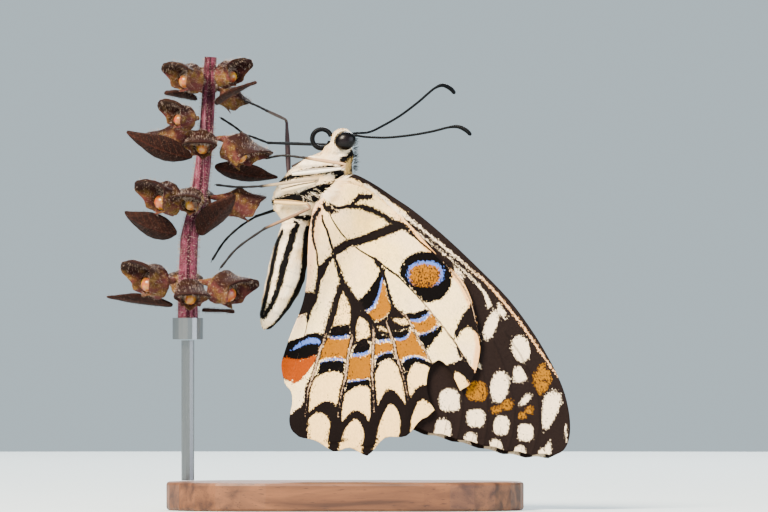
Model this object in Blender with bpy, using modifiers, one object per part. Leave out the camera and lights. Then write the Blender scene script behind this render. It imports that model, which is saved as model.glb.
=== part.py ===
"""A chequered swallowtail, wings closed over its back, on a cut basil stem and a display stand.

Metres, +Z up. The origin is the centre of the stand's underside. +X points from the perch to the wing tips,
and the butterfly's left side faces -Y. The tables below are in millimetres, and mm() turns them to metres.
"""

import math

import bmesh
import bpy
from mathutils import Matrix, Vector

MM = 0.001
GAP = 0.15  # clearance between pieces that meet
WELD = 1e-6  # merging distance, in metres

# Stand
BASE_LENGTH = 50.0
BASE_WIDTH = 28.0
BASE_THICKNESS = 4.0
BASE_EDGE = 0.8
ROD_RADIUS = 0.9
FERRULE_RADIUS = 2.15
FERRULE_HEIGHT = 3.0
FERRULE_WALL = 0.35
ARC_STEPS = 12
TURNED_STEPS = 20

# Perch: (x, z, radius) up the stem's axis
STEM_AXIS = (
    (-22.0, 24.4, 1.60),
    (-22.0, 27.6, 1.58),
    (-22.0, 33.0, 1.46),
    (-21.8, 38.0, 1.40),
    (-20.6, 43.0, 1.34),
    (-19.9, 48.0, 1.24),
    (-19.4, 53.0, 1.12),
    (-19.1, 58.0, 1.05),
    (-18.8, 63.4, 0.95),
)

# The calyces of each whorl. An azimuth is in degrees from +X, and 270 faces the butterfly's left (-Y).
# (side, azimuth, height on the stem, stalk, facing azimuth, droop, length, mouth radius, lip)
WHORLS = (
    (
        ("left", 216, 60.5, 0.5, 224, 6, 3.5, 1.7, 1.9),
        ("front", 26, 58.9, 0.9, 4, 50, 2.9, 1.35, 1.2),
        ("right", 322, 61.0, 0.5, 312, 4, 3.2, 1.5, 1.9),
        ("back", 95, 60.4, 0.9, 95, 10, 3.4, 1.6, 1.8),
    ),
    (
        ("left", 203, 54.8, 0.9, 226, 0, 3.3, 1.45, 2.2),
        ("front", 266, 52.3, 0.8, 262, 34, 3.3, 1.5, 2.0),
        ("right", 344, 52.0, 1.8, 322, 42, 4.1, 1.9, 2.6),
        ("back", 150, 52.8, 1.6, 160, 26, 3.8, 1.7, 1.8),
    ),
    (
        ("left", 200, 43.7, 1.5, 224, 6, 4.0, 1.9, 2.4),
        ("front", 260, 44.0, 0.8, 252, 26, 3.1, 1.4, 1.7),
        ("right", 12, 43.8, 1.9, 2, 24, 4.2, 1.7, 1.6),
        ("back", 95, 43.4, 0.9, 95, 10, 3.8, 1.7, 2.0),
    ),
    (
        ("left", 199, 32.1, 1.6, 222, 4, 4.0, 1.95, 2.5),
        ("front", 274, 31.6, 0.8, 276, 38, 3.5, 1.6, 2.7),
        ("right", 345, 31.9, 1.9, 320, 24, 4.2, 2.0, 2.3),
        ("back", 95, 32.0, 0.9, 95, 14, 3.8, 1.7, 2.2),
    ),
)
CALYX_SIDES = 12
STALK_RADIUS = 0.32
LIP_THICKNESS = 0.4
LIP_LIFT = 0.6  # rise for each step forward
LIP_SPREAD = 0.9
LIP_START, TEETH_START, SIDE_TEETH_START = 0.1, 0.9, 0.8  # heights and side, as shares of the mouth's radius
TOOTH_REACH = 0.3  # share of the length
# Along a calyx: (share of the length, share of the mouth's radius, reach of lip and teeth, drop of the lip)
CALYX_STATIONS = (
    (0.02, 0.34, 0.0, 0.0),
    (0.38, 0.95, 0.0, 0.0),
    (0.9, 1.0, 1.0, 0.0),
    (0.9, 0.92, 0.95, LIP_THICKNESS),
    (0.66, 0.66, 0.0, 0.0),
    (0.88, 0.4, 0.0, 0.0),
)

# Bracts: (whorl, side, height on the stem, azimuth, rise, roll, length, width, curl), angles in degrees
BRACTS = (
    (1, "right", 56.7, 318, 26, 14, 8.2, 3.8, -8),
    (1, "left", 57.5, 165, 6, 20, 5.0, 3.0, 10),
    (2, "right", 48.2, 6, -22, -48, 9.4, 3.8, 36),
    (2, "left", 49.4, 196, 6, 52, 9.9, 4.2, 52),
    (3, "right", 38.5, 322, 40, -12, 8.4, 5.4, 4),
    (3, "left", 38.7, 192, 2, 46, 8.2, 4.8, 60),
    (4, "right", 28.0, 350, -4, 0, 4.6, 1.1, 4),
    (4, "left", 28.6, 186, 8, 30, 9.6, 2.6, 0),
)
BRACT_THICKNESS = 0.5
BRACT_FOLD = 0.3
BRACT_CLEARANCE = 0.45
BRACT_FOOT = 0.14  # share of the full width kept at the stalk
BRACT_TAPER = 0.6

# Wings: (x, z) from each wing's own root. The right forewing hangs a little lower than the left one.
WING_THICKNESS = 0.5
# The untrimmed sheet, from the hinge
SHEET_BEHIND, SHEET_BEYOND, SHEET_UP, SHEET_DOWN = 4.0, 60.0, 30.0, 50.0
FORE_ROOT = (0.7, 45.9)
HIND_ROOT = (-2.8, 43.4)
FORE_HINGE_SPREAD = 2.85
HIND_HINGE_SPREAD = 3.65
FORE_CLOSED_SPREAD = 0.45
HIND_CLOSED_SPREAD = 1.25
CLOSING_REACH = 8.0
CLOSING_STEPS = 8
CUTTER_DEPTH = 8.0
RIGHT_FORE_SLIP = (-0.45, -0.12)
RIGHT_FORE_TURN = math.radians(0.6)
HINGE_TOP = (0.0, 46.5)
HINGE_FOOT = (-3.2, 41.3)

FORE_COSTA = (
    (-0.3, 1.1), (0.9, 1.0), (3.4, -0.3), (6.1, -2.1), (8.9, -4.0), (12.8, -7.2),
    (17.3, -11.4), (22.2, -16.4), (25.8, -21.3), (28.2, -25.4), (29.8, -28.9), (30.6, -32.0),
    (30.8, -34.6), (30.5, -36.4), (29.8, -37.6), (28.6, -38.25),
)
FORE_CRESTS = (
    (28.6, -38.25), (25.4, -38.2), (22.1, -37.7), (18.7, -36.9), (15.0, -36.0), (11.2, -35.1), (7.4, -34.0),
)
FORE_SCALLOP = 0.28
FORE_INNER = (
    (7.4, -34.0), (5.6, -32.9), (4.3, -30.6), (3.0, -26.6), (1.4, -20.6), (0.2, -13.6), (-0.6, -7.4),
    (-1.2, -3.0), (-1.3, -0.6), (-0.3, 1.1),
)

HIND_COSTA = (
    (0.4, 0.9), (2.6, 2.2), (4.4, 2.0), (6.4, 1.0), (9.2, -1.2), (11.8, -3.4), (14.9, -6.9), (17.3, -9.3),
    (19.3, -11.5), (20.6, -14.4), (21.3, -17.4), (21.7, -20.3), (21.3, -23.3), (20.4, -25.7),
)
HIND_CRESTS = (
    (20.4, -25.7), (16.5, -29.9), (11.4, -33.0), (5.9, -35.8), (1.2, -35.2), (-3.7, -33.1),
)
HIND_SCALLOPS = (0.7, 0.9, 1.15, 0.85, 0.45)
HIND_INNER = (
    (-3.7, -33.1), (-4.7, -32.1), (-5.0, -30.6), (-4.6, -28.6), (-4.7, -26.9), (-5.6, -25.6), (-6.1, -23.2),
    (-5.6, -21.2), (-4.8, -18.9), (-3.8, -16.4), (-3.0, -14.0), (-2.5, -11.2), (-2.4, -8.4), (-2.3, -5.4),
    (-2.0, -3.2), (-1.4, -0.8), (0.4, 0.9),
)
HIND_TEAR = (
    (15.6, -22.5), (14.6, -23.6), (14.2, -25.5), (14.5, -27.5), (15.3, -29.4), (16.3, -31.6),
    (20.4, -28.2), (18.9, -26.7), (18.1, -25.0), (17.2, -23.4), (16.4, -22.6),
)

# Body sections: (ventral point, dorsal point, half width), top to bottom
PROTHORAX = (
    ((-3.5, 50.25), (1.05, 49.4), 1.1),
    ((-5.5, 49.35), (1.15, 48.9), 1.7),
    ((-6.7, 48.55), (1.15, 48.4), 2.0),
)
THORAX = (
    ((-7.0, 48.3), (1.15, 48.2), 2.05),
    ((-8.0, 47.4), (1.2, 47.3), 2.35),
    ((-9.2, 46.1), (1.1, 46.1), 2.6),
    ((-9.9, 44.7), (0.8, 44.7), 2.7),
    ((-10.3, 43.3), (-0.1, 43.3), 2.65),
    ((-9.9, 42.0), (-1.6, 42.0), 2.4),
    ((-9.0, 40.8), (-3.6, 40.8), 1.95),
)
ABDOMEN_VENTRAL = (
    (-8.7, 40.6), (-9.7, 38.2), (-10.6, 35.4), (-11.1, 33.0), (-11.6, 30.6), (-12.0, 28.4), (-12.1, 27.0),
    (-11.9, 26.0),
)
ABDOMEN_DORSAL = (
    (-4.5, 40.3), (-4.8, 38.0), (-5.0, 35.6), (-5.2, 33.4), (-5.8, 31.2), (-6.9, 29.2), (-8.2, 27.4),
    (-9.4, 26.1),
)
ABDOMEN_HALF_WIDTH = (1.9, 2.25, 2.45, 2.5, 2.35, 2.0, 1.5, 1.0)
SEGMENT_GROOVE = 0.035
TIP_STEP = (-0.25, -0.75)
TIP_SHARE = 0.55
BODY_SIDES = 18

HEAD_CENTRE = (-0.35, 0.0, 51.75)
HEAD_RADII = (1.8, 1.7, 1.85)
EYE_CENTRE = (0.05, 1.3, 51.65)
EYE_RADII = (1.5, 1.05, 1.28)
EYE_TILT = math.radians(22)

ANTENNA_LEFT = (
    (1.65, -0.6, 52.4), (3.0, -0.9, 52.2), (5.6, -1.6, 52.1), (8.1, -2.3, 52.3), (10.3, -2.9, 52.6),
    (12.4, -3.5, 53.0), (14.4, -4.0, 53.5), (15.8, -4.4, 53.6), (16.9, -4.7, 53.1), (17.6, -4.9, 52.4),
)
ANTENNA_RIGHT = (
    (1.65, 0.6, 52.75), (3.4, 1.1, 52.9), (5.3, 1.8, 53.8), (7.7, 2.5, 55.2), (10.1, 3.2, 57.0),
    (11.6, 3.7, 58.3), (12.6, 4.0, 59.1), (13.7, 4.3, 59.5), (14.8, 4.6, 59.0), (15.4, 4.8, 58.3),
)
ANTENNA_SHAFT = 0.25
ANTENNA_CLUB = 0.33
CLUB_SHARE = 0.3
CLUB_TIP = 0.8  # how far round its swelling the club ends

PROBOSCIS_CENTRE = (-3.25, 0.0, 51.95)
PROBOSCIS_COIL = 1.33
PROBOSCIS_RADIUS = 0.3
PROBOSCIS_TAPER = 0.85
PROBOSCIS_STEPS = 20
PROBOSCIS_START = math.radians(50)
PROBOSCIS_END = math.radians(310)

# Legs: hip, end of the thigh, start of the shin, ankle, then the points of the foot to the claw
LEGS = {
    "fore_left": (
        (-7.4, -2.5, 47.05), (-0.6, -2.9, 47.8), (0.2, -3.15, 48.35), (-5.8, -3.0, 49.3),
        ((-8.7, -2.2, 49.6), (-11.1, -1.2, 49.2)),
    ),
    "fore_right": (
        (-7.4, 2.1, 48.0), (-1.6, 3.1, 50.45), (-0.8, 3.35, 51.1), (-10.8, 1.0, 51.4),
        ((-12.9, 0.8, 52.2), (-14.1, 0.8, 52.6), (-15.4, 0.9, 53.6), (-17.4, 1.2, 54.9)),
    ),
    "mid_left": (
        (-8.9, -2.5, 44.7), (-4.3, -3.2, 45.75), (-3.5, -3.6, 46.35), (-11.7, -3.0, 45.3),
        ((-15.0, -1.9, 45.2), (-18.0, -1.4, 45.5)),
    ),
    "mid_right": (
        (-7.9, 2.7, 46.8), (-8.2, 5.3, 54.2), (-8.35, 5.2, 54.7), (-11.0, -0.9, 55.9),
        ((-12.4, -1.5, 56.6), (-13.9, -1.8, 57.2)),
    ),
    "hind_left": (
        (-9.9, -2.4, 43.15), (-5.3, -3.35, 42.85), (-4.8, -3.6, 42.25), (-11.2, -3.1, 39.4),
        ((-15.0, -2.2, 36.7), (-17.4, -1.8, 33.9)),
    ),
    "hind_right": (
        (-9.7, 2.6, 43.9), (-4.9, 3.3, 44.2), (-4.4, 3.6, 43.8), (-12.5, 2.8, 41.1),
        ((-14.8, 2.2, 39.6), (-16.9, 1.7, 37.6), (-18.6, 1.5, 35.0)),
    ),
}
FEMUR_RADIUS = 0.34
FEMUR_TAPER = 0.8
TIBIA_RADIUS = 0.26
TARSUS_RADIUS = 0.25


def mm(x, y, z):
    return Vector((x, y, z)) * MM


def clear_scene():
    for obj in list(bpy.data.objects):
        bpy.data.objects.remove(obj)


def new_collection(name):
    made = bpy.data.collections.new(name)
    bpy.context.scene.collection.children.link(made)
    return made


def material(name, colour, roughness, metallic=0.0):
    made = bpy.data.materials.new(name)
    made.use_nodes = True
    shader = made.node_tree.nodes["Principled BSDF"]
    shader.inputs["Base Color"].default_value = (*colour, 1)
    shader.inputs["Roughness"].default_value = roughness
    shader.inputs["Metallic"].default_value = metallic
    return made


def add_object(name, data, finish, collection):
    obj = bpy.data.objects.new(name, data)
    collection.objects.link(obj)
    if finish:
        data.materials.append(finish)
    return obj


def mesh_object(name, bm, finish, collection, smooth_angle=40):
    bmesh.ops.recalc_face_normals(bm, faces=bm.faces)
    mesh = bpy.data.meshes.new(name)
    bm.to_mesh(mesh)
    bm.free()
    mesh.shade_smooth()
    mesh.set_sharp_from_angle(angle=math.radians(smooth_angle))
    return add_object(name, mesh, finish, collection)


def as_cutter(obj):
    obj.hide_render = True
    obj.display_type = "WIRE"
    return obj


def boolean(obj, operation, cutter):
    modifier = obj.modifiers.new(operation.title(), "BOOLEAN")
    modifier.operation = operation
    modifier.object = cutter
    modifier.solver = "EXACT"


def solidify(obj, thickness, offset=0.0):
    modifier = obj.modifiers.new("Thickness", "SOLIDIFY")
    modifier.thickness = thickness * MM
    modifier.offset = offset
    modifier.use_even_offset = True


def smooth_path(points, per_span):
    """Points on a Catmull-Rom curve through points, which may have any number of coordinates."""
    points = [Vector(p) for p in points]
    ends = [2 * points[0] - points[1], *points, 2 * points[-1] - points[-2]]
    path = []
    for a, b, c, d in zip(ends, ends[1:], ends[2:], ends[3:]):
        for step in range(per_span):
            t = step / per_span
            square, cube = 2 * a - 5 * b + 4 * c - d, 3 * b - a - 3 * c + d
            path.append(0.5 * (2 * b + (c - a) * t + square * t**2 + cube * t**3))
    path.append(points[-1])
    return path


def tube(name, path, radii, finish, collection, resolution=2):
    """A round rod along path, in millimetres, with a radius for each point and filled ends."""
    curve = bpy.data.curves.new(name, "CURVE")
    curve.dimensions = "3D"
    curve.bevel_depth = MM
    curve.bevel_resolution = resolution
    curve.use_fill_caps = True
    spline = curve.splines.new("POLY")
    spline.points.add(len(path) - 1)
    for point, place, radius in zip(spline.points, path, radii):
        point.co = (*(Vector(place) * MM), 1)
        point.radius = radius
    return add_object(name, curve, finish, collection)


def flat_shape(outline, half_depth):
    """A bmesh of the closed outline, (x, y) in millimetres, filled and carried half_depth to both sides."""
    curve = bpy.data.curves.new("Outline", "CURVE")
    curve.dimensions = "2D"
    curve.fill_mode = "BOTH"
    curve.extrude = half_depth * MM
    spline = curve.splines.new("POLY")
    spline.points.add(len(outline) - 1)
    spline.use_cyclic_u = True
    for point, (x, y) in zip(spline.points, outline):
        point.co = (x * MM, y * MM, 0, 1)
    obj = bpy.data.objects.new("Outline", curve)
    bpy.context.scene.collection.objects.link(obj)
    mesh = bpy.data.meshes.new_from_object(obj.evaluated_get(bpy.context.evaluated_depsgraph_get()))
    bpy.data.objects.remove(obj)
    bm = bmesh.new()
    bm.from_mesh(mesh)
    bpy.data.meshes.remove(mesh)
    bmesh.ops.remove_doubles(bm, verts=bm.verts, dist=WELD)
    return bm


def ring(bm, centre, along, across, sides=BODY_SIDES):
    """The edges of an ellipse of vertices about centre, with half axes along and across, in millimetres."""
    made = bmesh.ops.create_circle(bm, segments=sides, radius=1)["verts"]
    frame = Matrix((along, across, along.cross(across).normalized())).transposed().to_4x4()
    bmesh.ops.transform(bm, verts=made, matrix=Matrix.Scale(MM, 4) @ Matrix.Translation(centre) @ frame)
    return sorted({edge for vert in made for edge in vert.link_edges}, key=lambda edge: edge.index)


def skin_rings(bm, rings):
    """Joins neighbouring rings by faces and closes both ends."""
    for lower, upper in zip(rings, rings[1:]):
        bmesh.ops.bridge_loops(bm, edges=lower + upper)
    for end in (rings[0], rings[-1]):
        bmesh.ops.contextual_create(bm, geom=end)


def loft(name, sections, finish, collection, sides=BODY_SIDES):
    """A body through elliptical sections: (ventral point, dorsal point, half width), points as (x, z)."""
    bm = bmesh.new()
    rings = []
    for ventral, dorsal, half_width in sections:
        ventral = Vector((ventral[0], 0, ventral[1]))
        dorsal = Vector((dorsal[0], 0, dorsal[1]))
        centre, along = (ventral + dorsal) / 2, (dorsal - ventral) / 2
        rings.append(ring(bm, centre, along, Vector((0, half_width, 0)), sides))
    skin_rings(bm, rings)
    return mesh_object(name, bm, finish, collection)


def ellipsoid(name, centre, radii, finish, collection, tilt=0.0, segments=18, rings=10):
    bm = bmesh.new()
    bmesh.ops.create_uvsphere(bm, u_segments=segments, v_segments=rings, radius=1)
    scale = Matrix.Diagonal((*[r * MM for r in radii], 1))
    turn = Matrix.Rotation(tilt, 4, "Y")
    bmesh.ops.transform(bm, verts=bm.verts, matrix=Matrix.Translation(mm(*centre)) @ turn @ scale)
    return mesh_object(name, bm, finish, collection)


# Stand


def stand_base(finish, parts):
    """A flat bar with round ends and softened edges."""
    end_radius = BASE_WIDTH / 2
    middle = BASE_LENGTH / 2 - end_radius
    outline = []
    for side, start in ((1, -90), (-1, 90)):
        for step in range(ARC_STEPS + 1):
            angle = math.radians(start + 180 * step / ARC_STEPS)
            outline.append((side * middle + end_radius * math.cos(angle), end_radius * math.sin(angle)))
    bm = flat_shape(outline, BASE_THICKNESS / 2)
    bmesh.ops.translate(bm, verts=bm.verts, vec=mm(0, 0, BASE_THICKNESS / 2))
    base = mesh_object("stand_base", bm, finish, parts)
    bevel = base.modifiers.new("Softened edges", "BEVEL")
    bevel.width = BASE_EDGE * MM
    bevel.segments = 2
    bevel.limit_method = "ANGLE"
    bevel.angle_limit = math.radians(60)


def stand_rod(finish, parts):
    """The rod from the base up to the ferrule."""
    foot_x, foot_z = STEM_AXIS[0][:2]
    top = foot_z - GAP - FERRULE_WALL - GAP
    rod = [(foot_x, 0, BASE_THICKNESS + GAP), (foot_x, 0, top)]
    tube("stand_rod", rod, (ROD_RADIUS, ROD_RADIUS), finish, parts, resolution=3)


def stand_ferrule(finish, parts):
    """The cup that grips the stem's cut end, turned from a profile that runs down its outer side."""
    foot_x, foot_z = STEM_AXIS[0][:2]
    floor = -GAP - FERRULE_WALL
    inner = FERRULE_RADIUS - FERRULE_WALL
    profile = (
        (inner, floor + FERRULE_HEIGHT), (FERRULE_RADIUS, floor + FERRULE_HEIGHT), (FERRULE_RADIUS, floor),
        (0.0, floor), (0.0, floor + FERRULE_WALL), (inner, floor + FERRULE_WALL),
    )
    bm = bmesh.new()
    verts = [bm.verts.new(mm(radius, 0, z)) for radius, z in profile]
    for a, b in zip(verts, verts[1:] + verts[:1]):
        if a.co.x or b.co.x:
            bm.edges.new((a, b))
    mesh = bpy.data.meshes.new("stand_ferrule")
    bm.to_mesh(mesh)
    bm.free()
    ferrule = add_object("stand_ferrule", mesh, finish, parts)
    ferrule.location = mm(foot_x, 0, foot_z)
    screw = ferrule.modifiers.new("Turned", "SCREW")
    screw.steps = TURNED_STEPS
    screw.render_steps = TURNED_STEPS
    screw.use_merge_vertices = True
    screw.merge_threshold = WELD


# Perch


def stem_at(z):
    """(x, radius) of the stem at height z."""
    for (x0, z0, r0), (x1, z1, r1) in zip(STEM_AXIS, STEM_AXIS[1:]):
        if z <= z1:
            share = (z - z0) / (z1 - z0)
            return x0 + share * (x1 - x0), r0 + share * (r1 - r0)
    return STEM_AXIS[-1][0], STEM_AXIS[-1][2]


def perch_stem(finish, parts):
    tube("perch_stem", [(x, 0, z) for x, z, _ in STEM_AXIS], [r for _, _, r in STEM_AXIS], finish, parts, 3)


def heading(azimuth, rise=0.0):
    """The direction at azimuth, lifted by rise, both in degrees."""
    turn, lift = math.radians(azimuth), math.radians(rise)
    return Vector((math.cos(turn) * math.cos(lift), math.sin(turn) * math.cos(lift), math.sin(lift)))


def off_stem(z, azimuth, clearance):
    """The point that far off the stem's side at height z, in millimetres."""
    x, radius = stem_at(z)
    return Vector((x, 0, z)) + heading(azimuth) * (radius + clearance)


def calyx(name, azimuth, z, stalk, facing, droop, length, mouth, lip, finish, parts):
    """A stalked bell with a nutlet in its mouth, a broad upper lip, and three teeth below."""
    outward = heading(facing, -droop)
    sideways = outward.cross(Vector((0, 0, 1))).normalized()
    upward = sideways.cross(outward)
    base = off_stem(z, azimuth, GAP + stalk)
    bm = bmesh.new()
    bmesh.ops.create_grid(bm, x_segments=CALYX_SIDES, y_segments=len(CALYX_STATIONS), size=0.5)
    for vert in bm.verts:
        angle = 2 * math.pi * (vert.co.x + 0.5)
        side, height = math.sin(angle), math.cos(angle)
        row = round((vert.co.y + 0.5) * len(CALYX_STATIONS))
        if row == 0:
            rim = heading(azimuth - 90) * side + Vector((0, 0, height))
            vert.co = (off_stem(z, azimuth, GAP) + STALK_RADIUS * rim) * MM
            continue
        share, width, reach, drop = CALYX_STATIONS[row - 1]
        spread, forward, up = 1.0, 0.0, -drop * max(0.0, height)
        if reach and height > LIP_START:
            forward = lip * reach * height**0.6
            spread += LIP_SPREAD * reach * height**0.5
            up += LIP_LIFT * forward
        elif reach and (height < -TEETH_START or abs(side) > SIDE_TEETH_START):
            forward = TOOTH_REACH * length * reach
        place = base + outward * (share * length + forward)
        place += sideways * (side * width * mouth * spread) + upward * (height * width * mouth + up)
        vert.co = place * MM
    bmesh.ops.remove_doubles(bm, verts=bm.verts, dist=WELD)
    bmesh.ops.holes_fill(bm, edges=bm.edges, sides=CALYX_SIDES)
    mesh_object(name, bm, finish, parts)


def bract(name, z, azimuth, rise, roll, length, width, curl, finish, parts):
    """A pointed leaf, folded along its midrib and bent up along its length."""
    bm = bmesh.new()
    bmesh.ops.create_grid(bm, x_segments=7, y_segments=4, size=0.5)
    bend = math.radians(curl)
    for vert in bm.verts:
        along, side = vert.co.x + 0.5, 2 * vert.co.y
        bulge = math.sin(math.pi * min(1, along * 1.02) ** 0.85) ** 0.8
        half = width / 2 * (BRACT_FOOT + (1 - BRACT_FOOT) * bulge) * (1 - BRACT_TAPER * along**5)
        angle = bend * along
        raised = BRACT_FOLD * abs(side) * half
        vert.co = mm(
            length * along * math.cos(angle / 2) - raised * math.sin(angle),
            side * half,
            length * along * math.sin(angle / 2) + raised * math.cos(angle),
        )
    place = Matrix.Translation(off_stem(z, azimuth, BRACT_CLEARANCE) * MM)
    turn = Matrix.Rotation(math.radians(azimuth), 4, "Z") @ Matrix.Rotation(-math.radians(rise), 4, "Y")
    turn = turn @ Matrix.Rotation(math.radians(roll), 4, "X")
    bmesh.ops.transform(bm, verts=bm.verts, matrix=place @ turn)
    solidify(mesh_object(name, bm, finish, parts), BRACT_THICKNESS)


def perch(stem_finish, calyx_finish, bract_finish, parts):
    perch_stem(stem_finish, parts)
    for number, whorl in enumerate(WHORLS, 1):
        for side, *shape in whorl:
            calyx(f"calyx_{number}_{side}", *shape, calyx_finish, parts)
    for number, side, *shape in BRACTS:
        bract(f"bract_{number}_{side}", *shape, bract_finish, parts)


# Wings


def wing_spread(distance, hinge, closed):
    """The wing's distance from the mirror plane: wide at the thorax, closing smoothly over CLOSING_REACH."""
    share = min(1.0, max(0.0, distance / CLOSING_REACH))
    return closed + (hinge - closed) * (1 - share * share * (3 - 2 * share))


def scalloped(crests, depths, per_span=6):
    """A margin through crests, dipping towards the root between each two of them."""
    path = []
    for (a, b), depth in zip(zip(crests, crests[1:]), depths):
        a, b = Vector(a), Vector(b)
        inward = -((a + b) / 2).normalized()
        for step in range(per_span):
            t = step / per_span
            path.append(a.lerp(b, t) + inward * depth * math.sin(math.pi * t) ** 2)
    path.append(Vector(crests[-1]))
    return path


def fore_outline():
    outer = scalloped(FORE_CRESTS, [FORE_SCALLOP] * (len(FORE_CRESTS) - 1), 4)
    return smooth_path(FORE_COSTA, 2)[:-1] + outer[:-1] + smooth_path(FORE_INNER, 2)[:-1]


def hind_outline():
    outer = scalloped(HIND_CRESTS, HIND_SCALLOPS)
    return smooth_path(HIND_COSTA, 2)[:-1] + outer[:-1] + smooth_path(HIND_INNER, 2)[:-1]


def prism(name, outline, root, turn, collection):
    """A cutter: the outline (x, z) about root, turned about it, carried through the whole wing."""
    bm = flat_shape(outline, CUTTER_DEPTH)
    upright = Matrix.Rotation(math.radians(90), 4, "X")
    swing = Matrix.Rotation(-turn, 4, "Y")
    place = Matrix.Translation(mm(root[0], 0, root[1]))
    bmesh.ops.transform(bm, verts=bm.verts, matrix=place @ swing @ upright)
    return as_cutter(mesh_object(name, bm, None, collection))


def wing(name, outline, root, spreads, side, turn, finish, parts, cutters, tear=None):
    """A sheet that leaves the thorax at a slant, closes towards the mirror plane and has the outline."""
    top, foot = Vector(HINGE_TOP), Vector(HINGE_FOOT)
    down = (foot - top).normalized()
    beyond = Vector((-down.y, down.x))
    closing = [CLOSING_REACH * step / CLOSING_STEPS for step in range(CLOSING_STEPS + 1)]
    stations = [-SHEET_BEHIND, *closing, SHEET_BEYOND]
    bm = bmesh.new()
    edges = []
    for distance in stations:
        y = side * wing_spread(distance, *spreads)
        ends = []
        for along in (-SHEET_UP, SHEET_DOWN):
            x, z = top + beyond * distance + down * along
            ends.append(bm.verts.new(mm(x, y, z)))
        edges.append(bm.edges.new(ends))
    for a, b in zip(edges, edges[1:]):
        bmesh.ops.bridge_loops(bm, edges=[a, b])
    sheet = mesh_object(name, bm, finish, parts, smooth_angle=60)
    solidify(sheet, WING_THICKNESS)
    boolean(sheet, "INTERSECT", prism(name + "_outline", outline, root, turn, cutters))
    if tear:
        boolean(sheet, "DIFFERENCE", prism(name + "_tear", tear, root, turn, cutters))


def wings(finish, parts, cutters):
    fore = (FORE_HINGE_SPREAD, FORE_CLOSED_SPREAD)
    hind = (HIND_HINGE_SPREAD, HIND_CLOSED_SPREAD)
    slipped = (FORE_ROOT[0] + RIGHT_FORE_SLIP[0], FORE_ROOT[1] + RIGHT_FORE_SLIP[1])
    wing("forewing_left", fore_outline(), FORE_ROOT, fore, -1, 0.0, finish, parts, cutters)
    wing("forewing_right", fore_outline(), slipped, fore, 1, -RIGHT_FORE_TURN, finish, parts, cutters)
    wing("hindwing_left", hind_outline(), HIND_ROOT, hind, -1, 0.0, finish, parts, cutters, HIND_TEAR)
    wing("hindwing_right", hind_outline(), HIND_ROOT, hind, 1, 0.0, finish, parts, cutters)


# Body


def head(finish, eye_finish, parts, cutters):
    skull = ellipsoid("head", HEAD_CENTRE, HEAD_RADII, finish, parts)
    for side_name, side in (("left", -1), ("right", 1)):
        x, y, z = EYE_CENTRE
        centre = (x, side * y, z)
        ellipsoid(f"eye_{side_name}", centre, EYE_RADII, eye_finish, parts, -EYE_TILT)
        socket_radii = [radius + GAP for radius in EYE_RADII]
        socket = ellipsoid(f"socket_{side_name}", centre, socket_radii, None, cutters, -EYE_TILT)
        boolean(skull, "DIFFERENCE", as_cutter(socket))


def abdomen(finish, parts):
    """Seven rings, each a little fuller than the groove behind it, and a blunt tip."""
    per_segment = 2
    spans = len(ABDOMEN_HALF_WIDTH) - 1
    table = [(*v, *d, w) for v, d, w in zip(ABDOMEN_VENTRAL, ABDOMEN_DORSAL, ABDOMEN_HALF_WIDTH)]
    sections = []
    for index, (vx, vz, dx, dz, half_width) in enumerate(smooth_path(table, per_segment)):
        groove = SEGMENT_GROOVE if index % per_segment == 0 and 0 < index < spans * per_segment else 0.0
        centre = Vector(((vx + dx) / 2, (vz + dz) / 2))
        ventral = centre + (Vector((vx, vz)) - centre) * (1 - groove)
        dorsal = centre + (Vector((dx, dz)) - centre) * (1 - groove)
        sections.append((ventral, dorsal, half_width * (1 - groove)))
    ventral, dorsal, half_width = sections[-1]
    centre = (ventral + dorsal) / 2
    tip = centre + Vector(TIP_STEP)
    sections.append(
        (tip + (ventral - centre) * TIP_SHARE, tip + (dorsal - centre) * TIP_SHARE, half_width * TIP_SHARE)
    )
    loft("abdomen", sections, finish, parts)


def trunk(finish, parts):
    for name, table in (("prothorax", PROTHORAX), ("thorax", THORAX)):
        loft(name, table, finish, parts)
    abdomen(finish, parts)


def antennae(finish, parts):
    for name, points in (("antenna_left", ANTENNA_LEFT), ("antenna_right", ANTENNA_RIGHT)):
        path = smooth_path(points, 2)
        radii = []
        for index in range(len(path)):
            into_club = max(0.0, (index / (len(path) - 1) - 1 + CLUB_SHARE) / CLUB_SHARE)
            swelling = math.sin(math.pi * CLUB_TIP * into_club)
            radii.append(ANTENNA_SHAFT + (ANTENNA_CLUB - ANTENNA_SHAFT) * swelling)
        tube(name, path, radii, finish, parts)


def proboscis(finish, parts):
    """The drinking tube, coiled under the face."""
    path, radii = [], []
    for step in range(PROBOSCIS_STEPS + 1):
        share = step / PROBOSCIS_STEPS
        angle = PROBOSCIS_START + share * (PROBOSCIS_END - PROBOSCIS_START)
        outward = Vector((math.cos(angle), 0, math.sin(angle)))
        path.append(Vector(PROBOSCIS_CENTRE) + PROBOSCIS_COIL * outward)
        radii.append(PROBOSCIS_RADIUS * (PROBOSCIS_TAPER + (1 - PROBOSCIS_TAPER) * share))
    tube("proboscis", path, radii, finish, parts)


def drawn_back(end, towards):
    """The end of a limb piece, moved by the gap that clears its neighbour."""
    end = Vector(end)
    return end + (Vector(towards) - end).normalized() * GAP


def legs(finish, parts):
    for name, (hip, thigh_end, shin_start, ankle, foot) in LEGS.items():
        tube(f"leg_{name}_femur", (hip, thigh_end), (FEMUR_RADIUS, FEMUR_RADIUS * FEMUR_TAPER), finish, parts)
        shin = (shin_start, drawn_back(ankle, shin_start))
        tube(f"leg_{name}_tibia", shin, (TIBIA_RADIUS, TIBIA_RADIUS), finish, parts)
        path = smooth_path([drawn_back(ankle, foot[0]), *foot], 2)
        tube(f"leg_{name}_tarsus", path, [TARSUS_RADIUS] * len(path), finish, parts)


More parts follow.
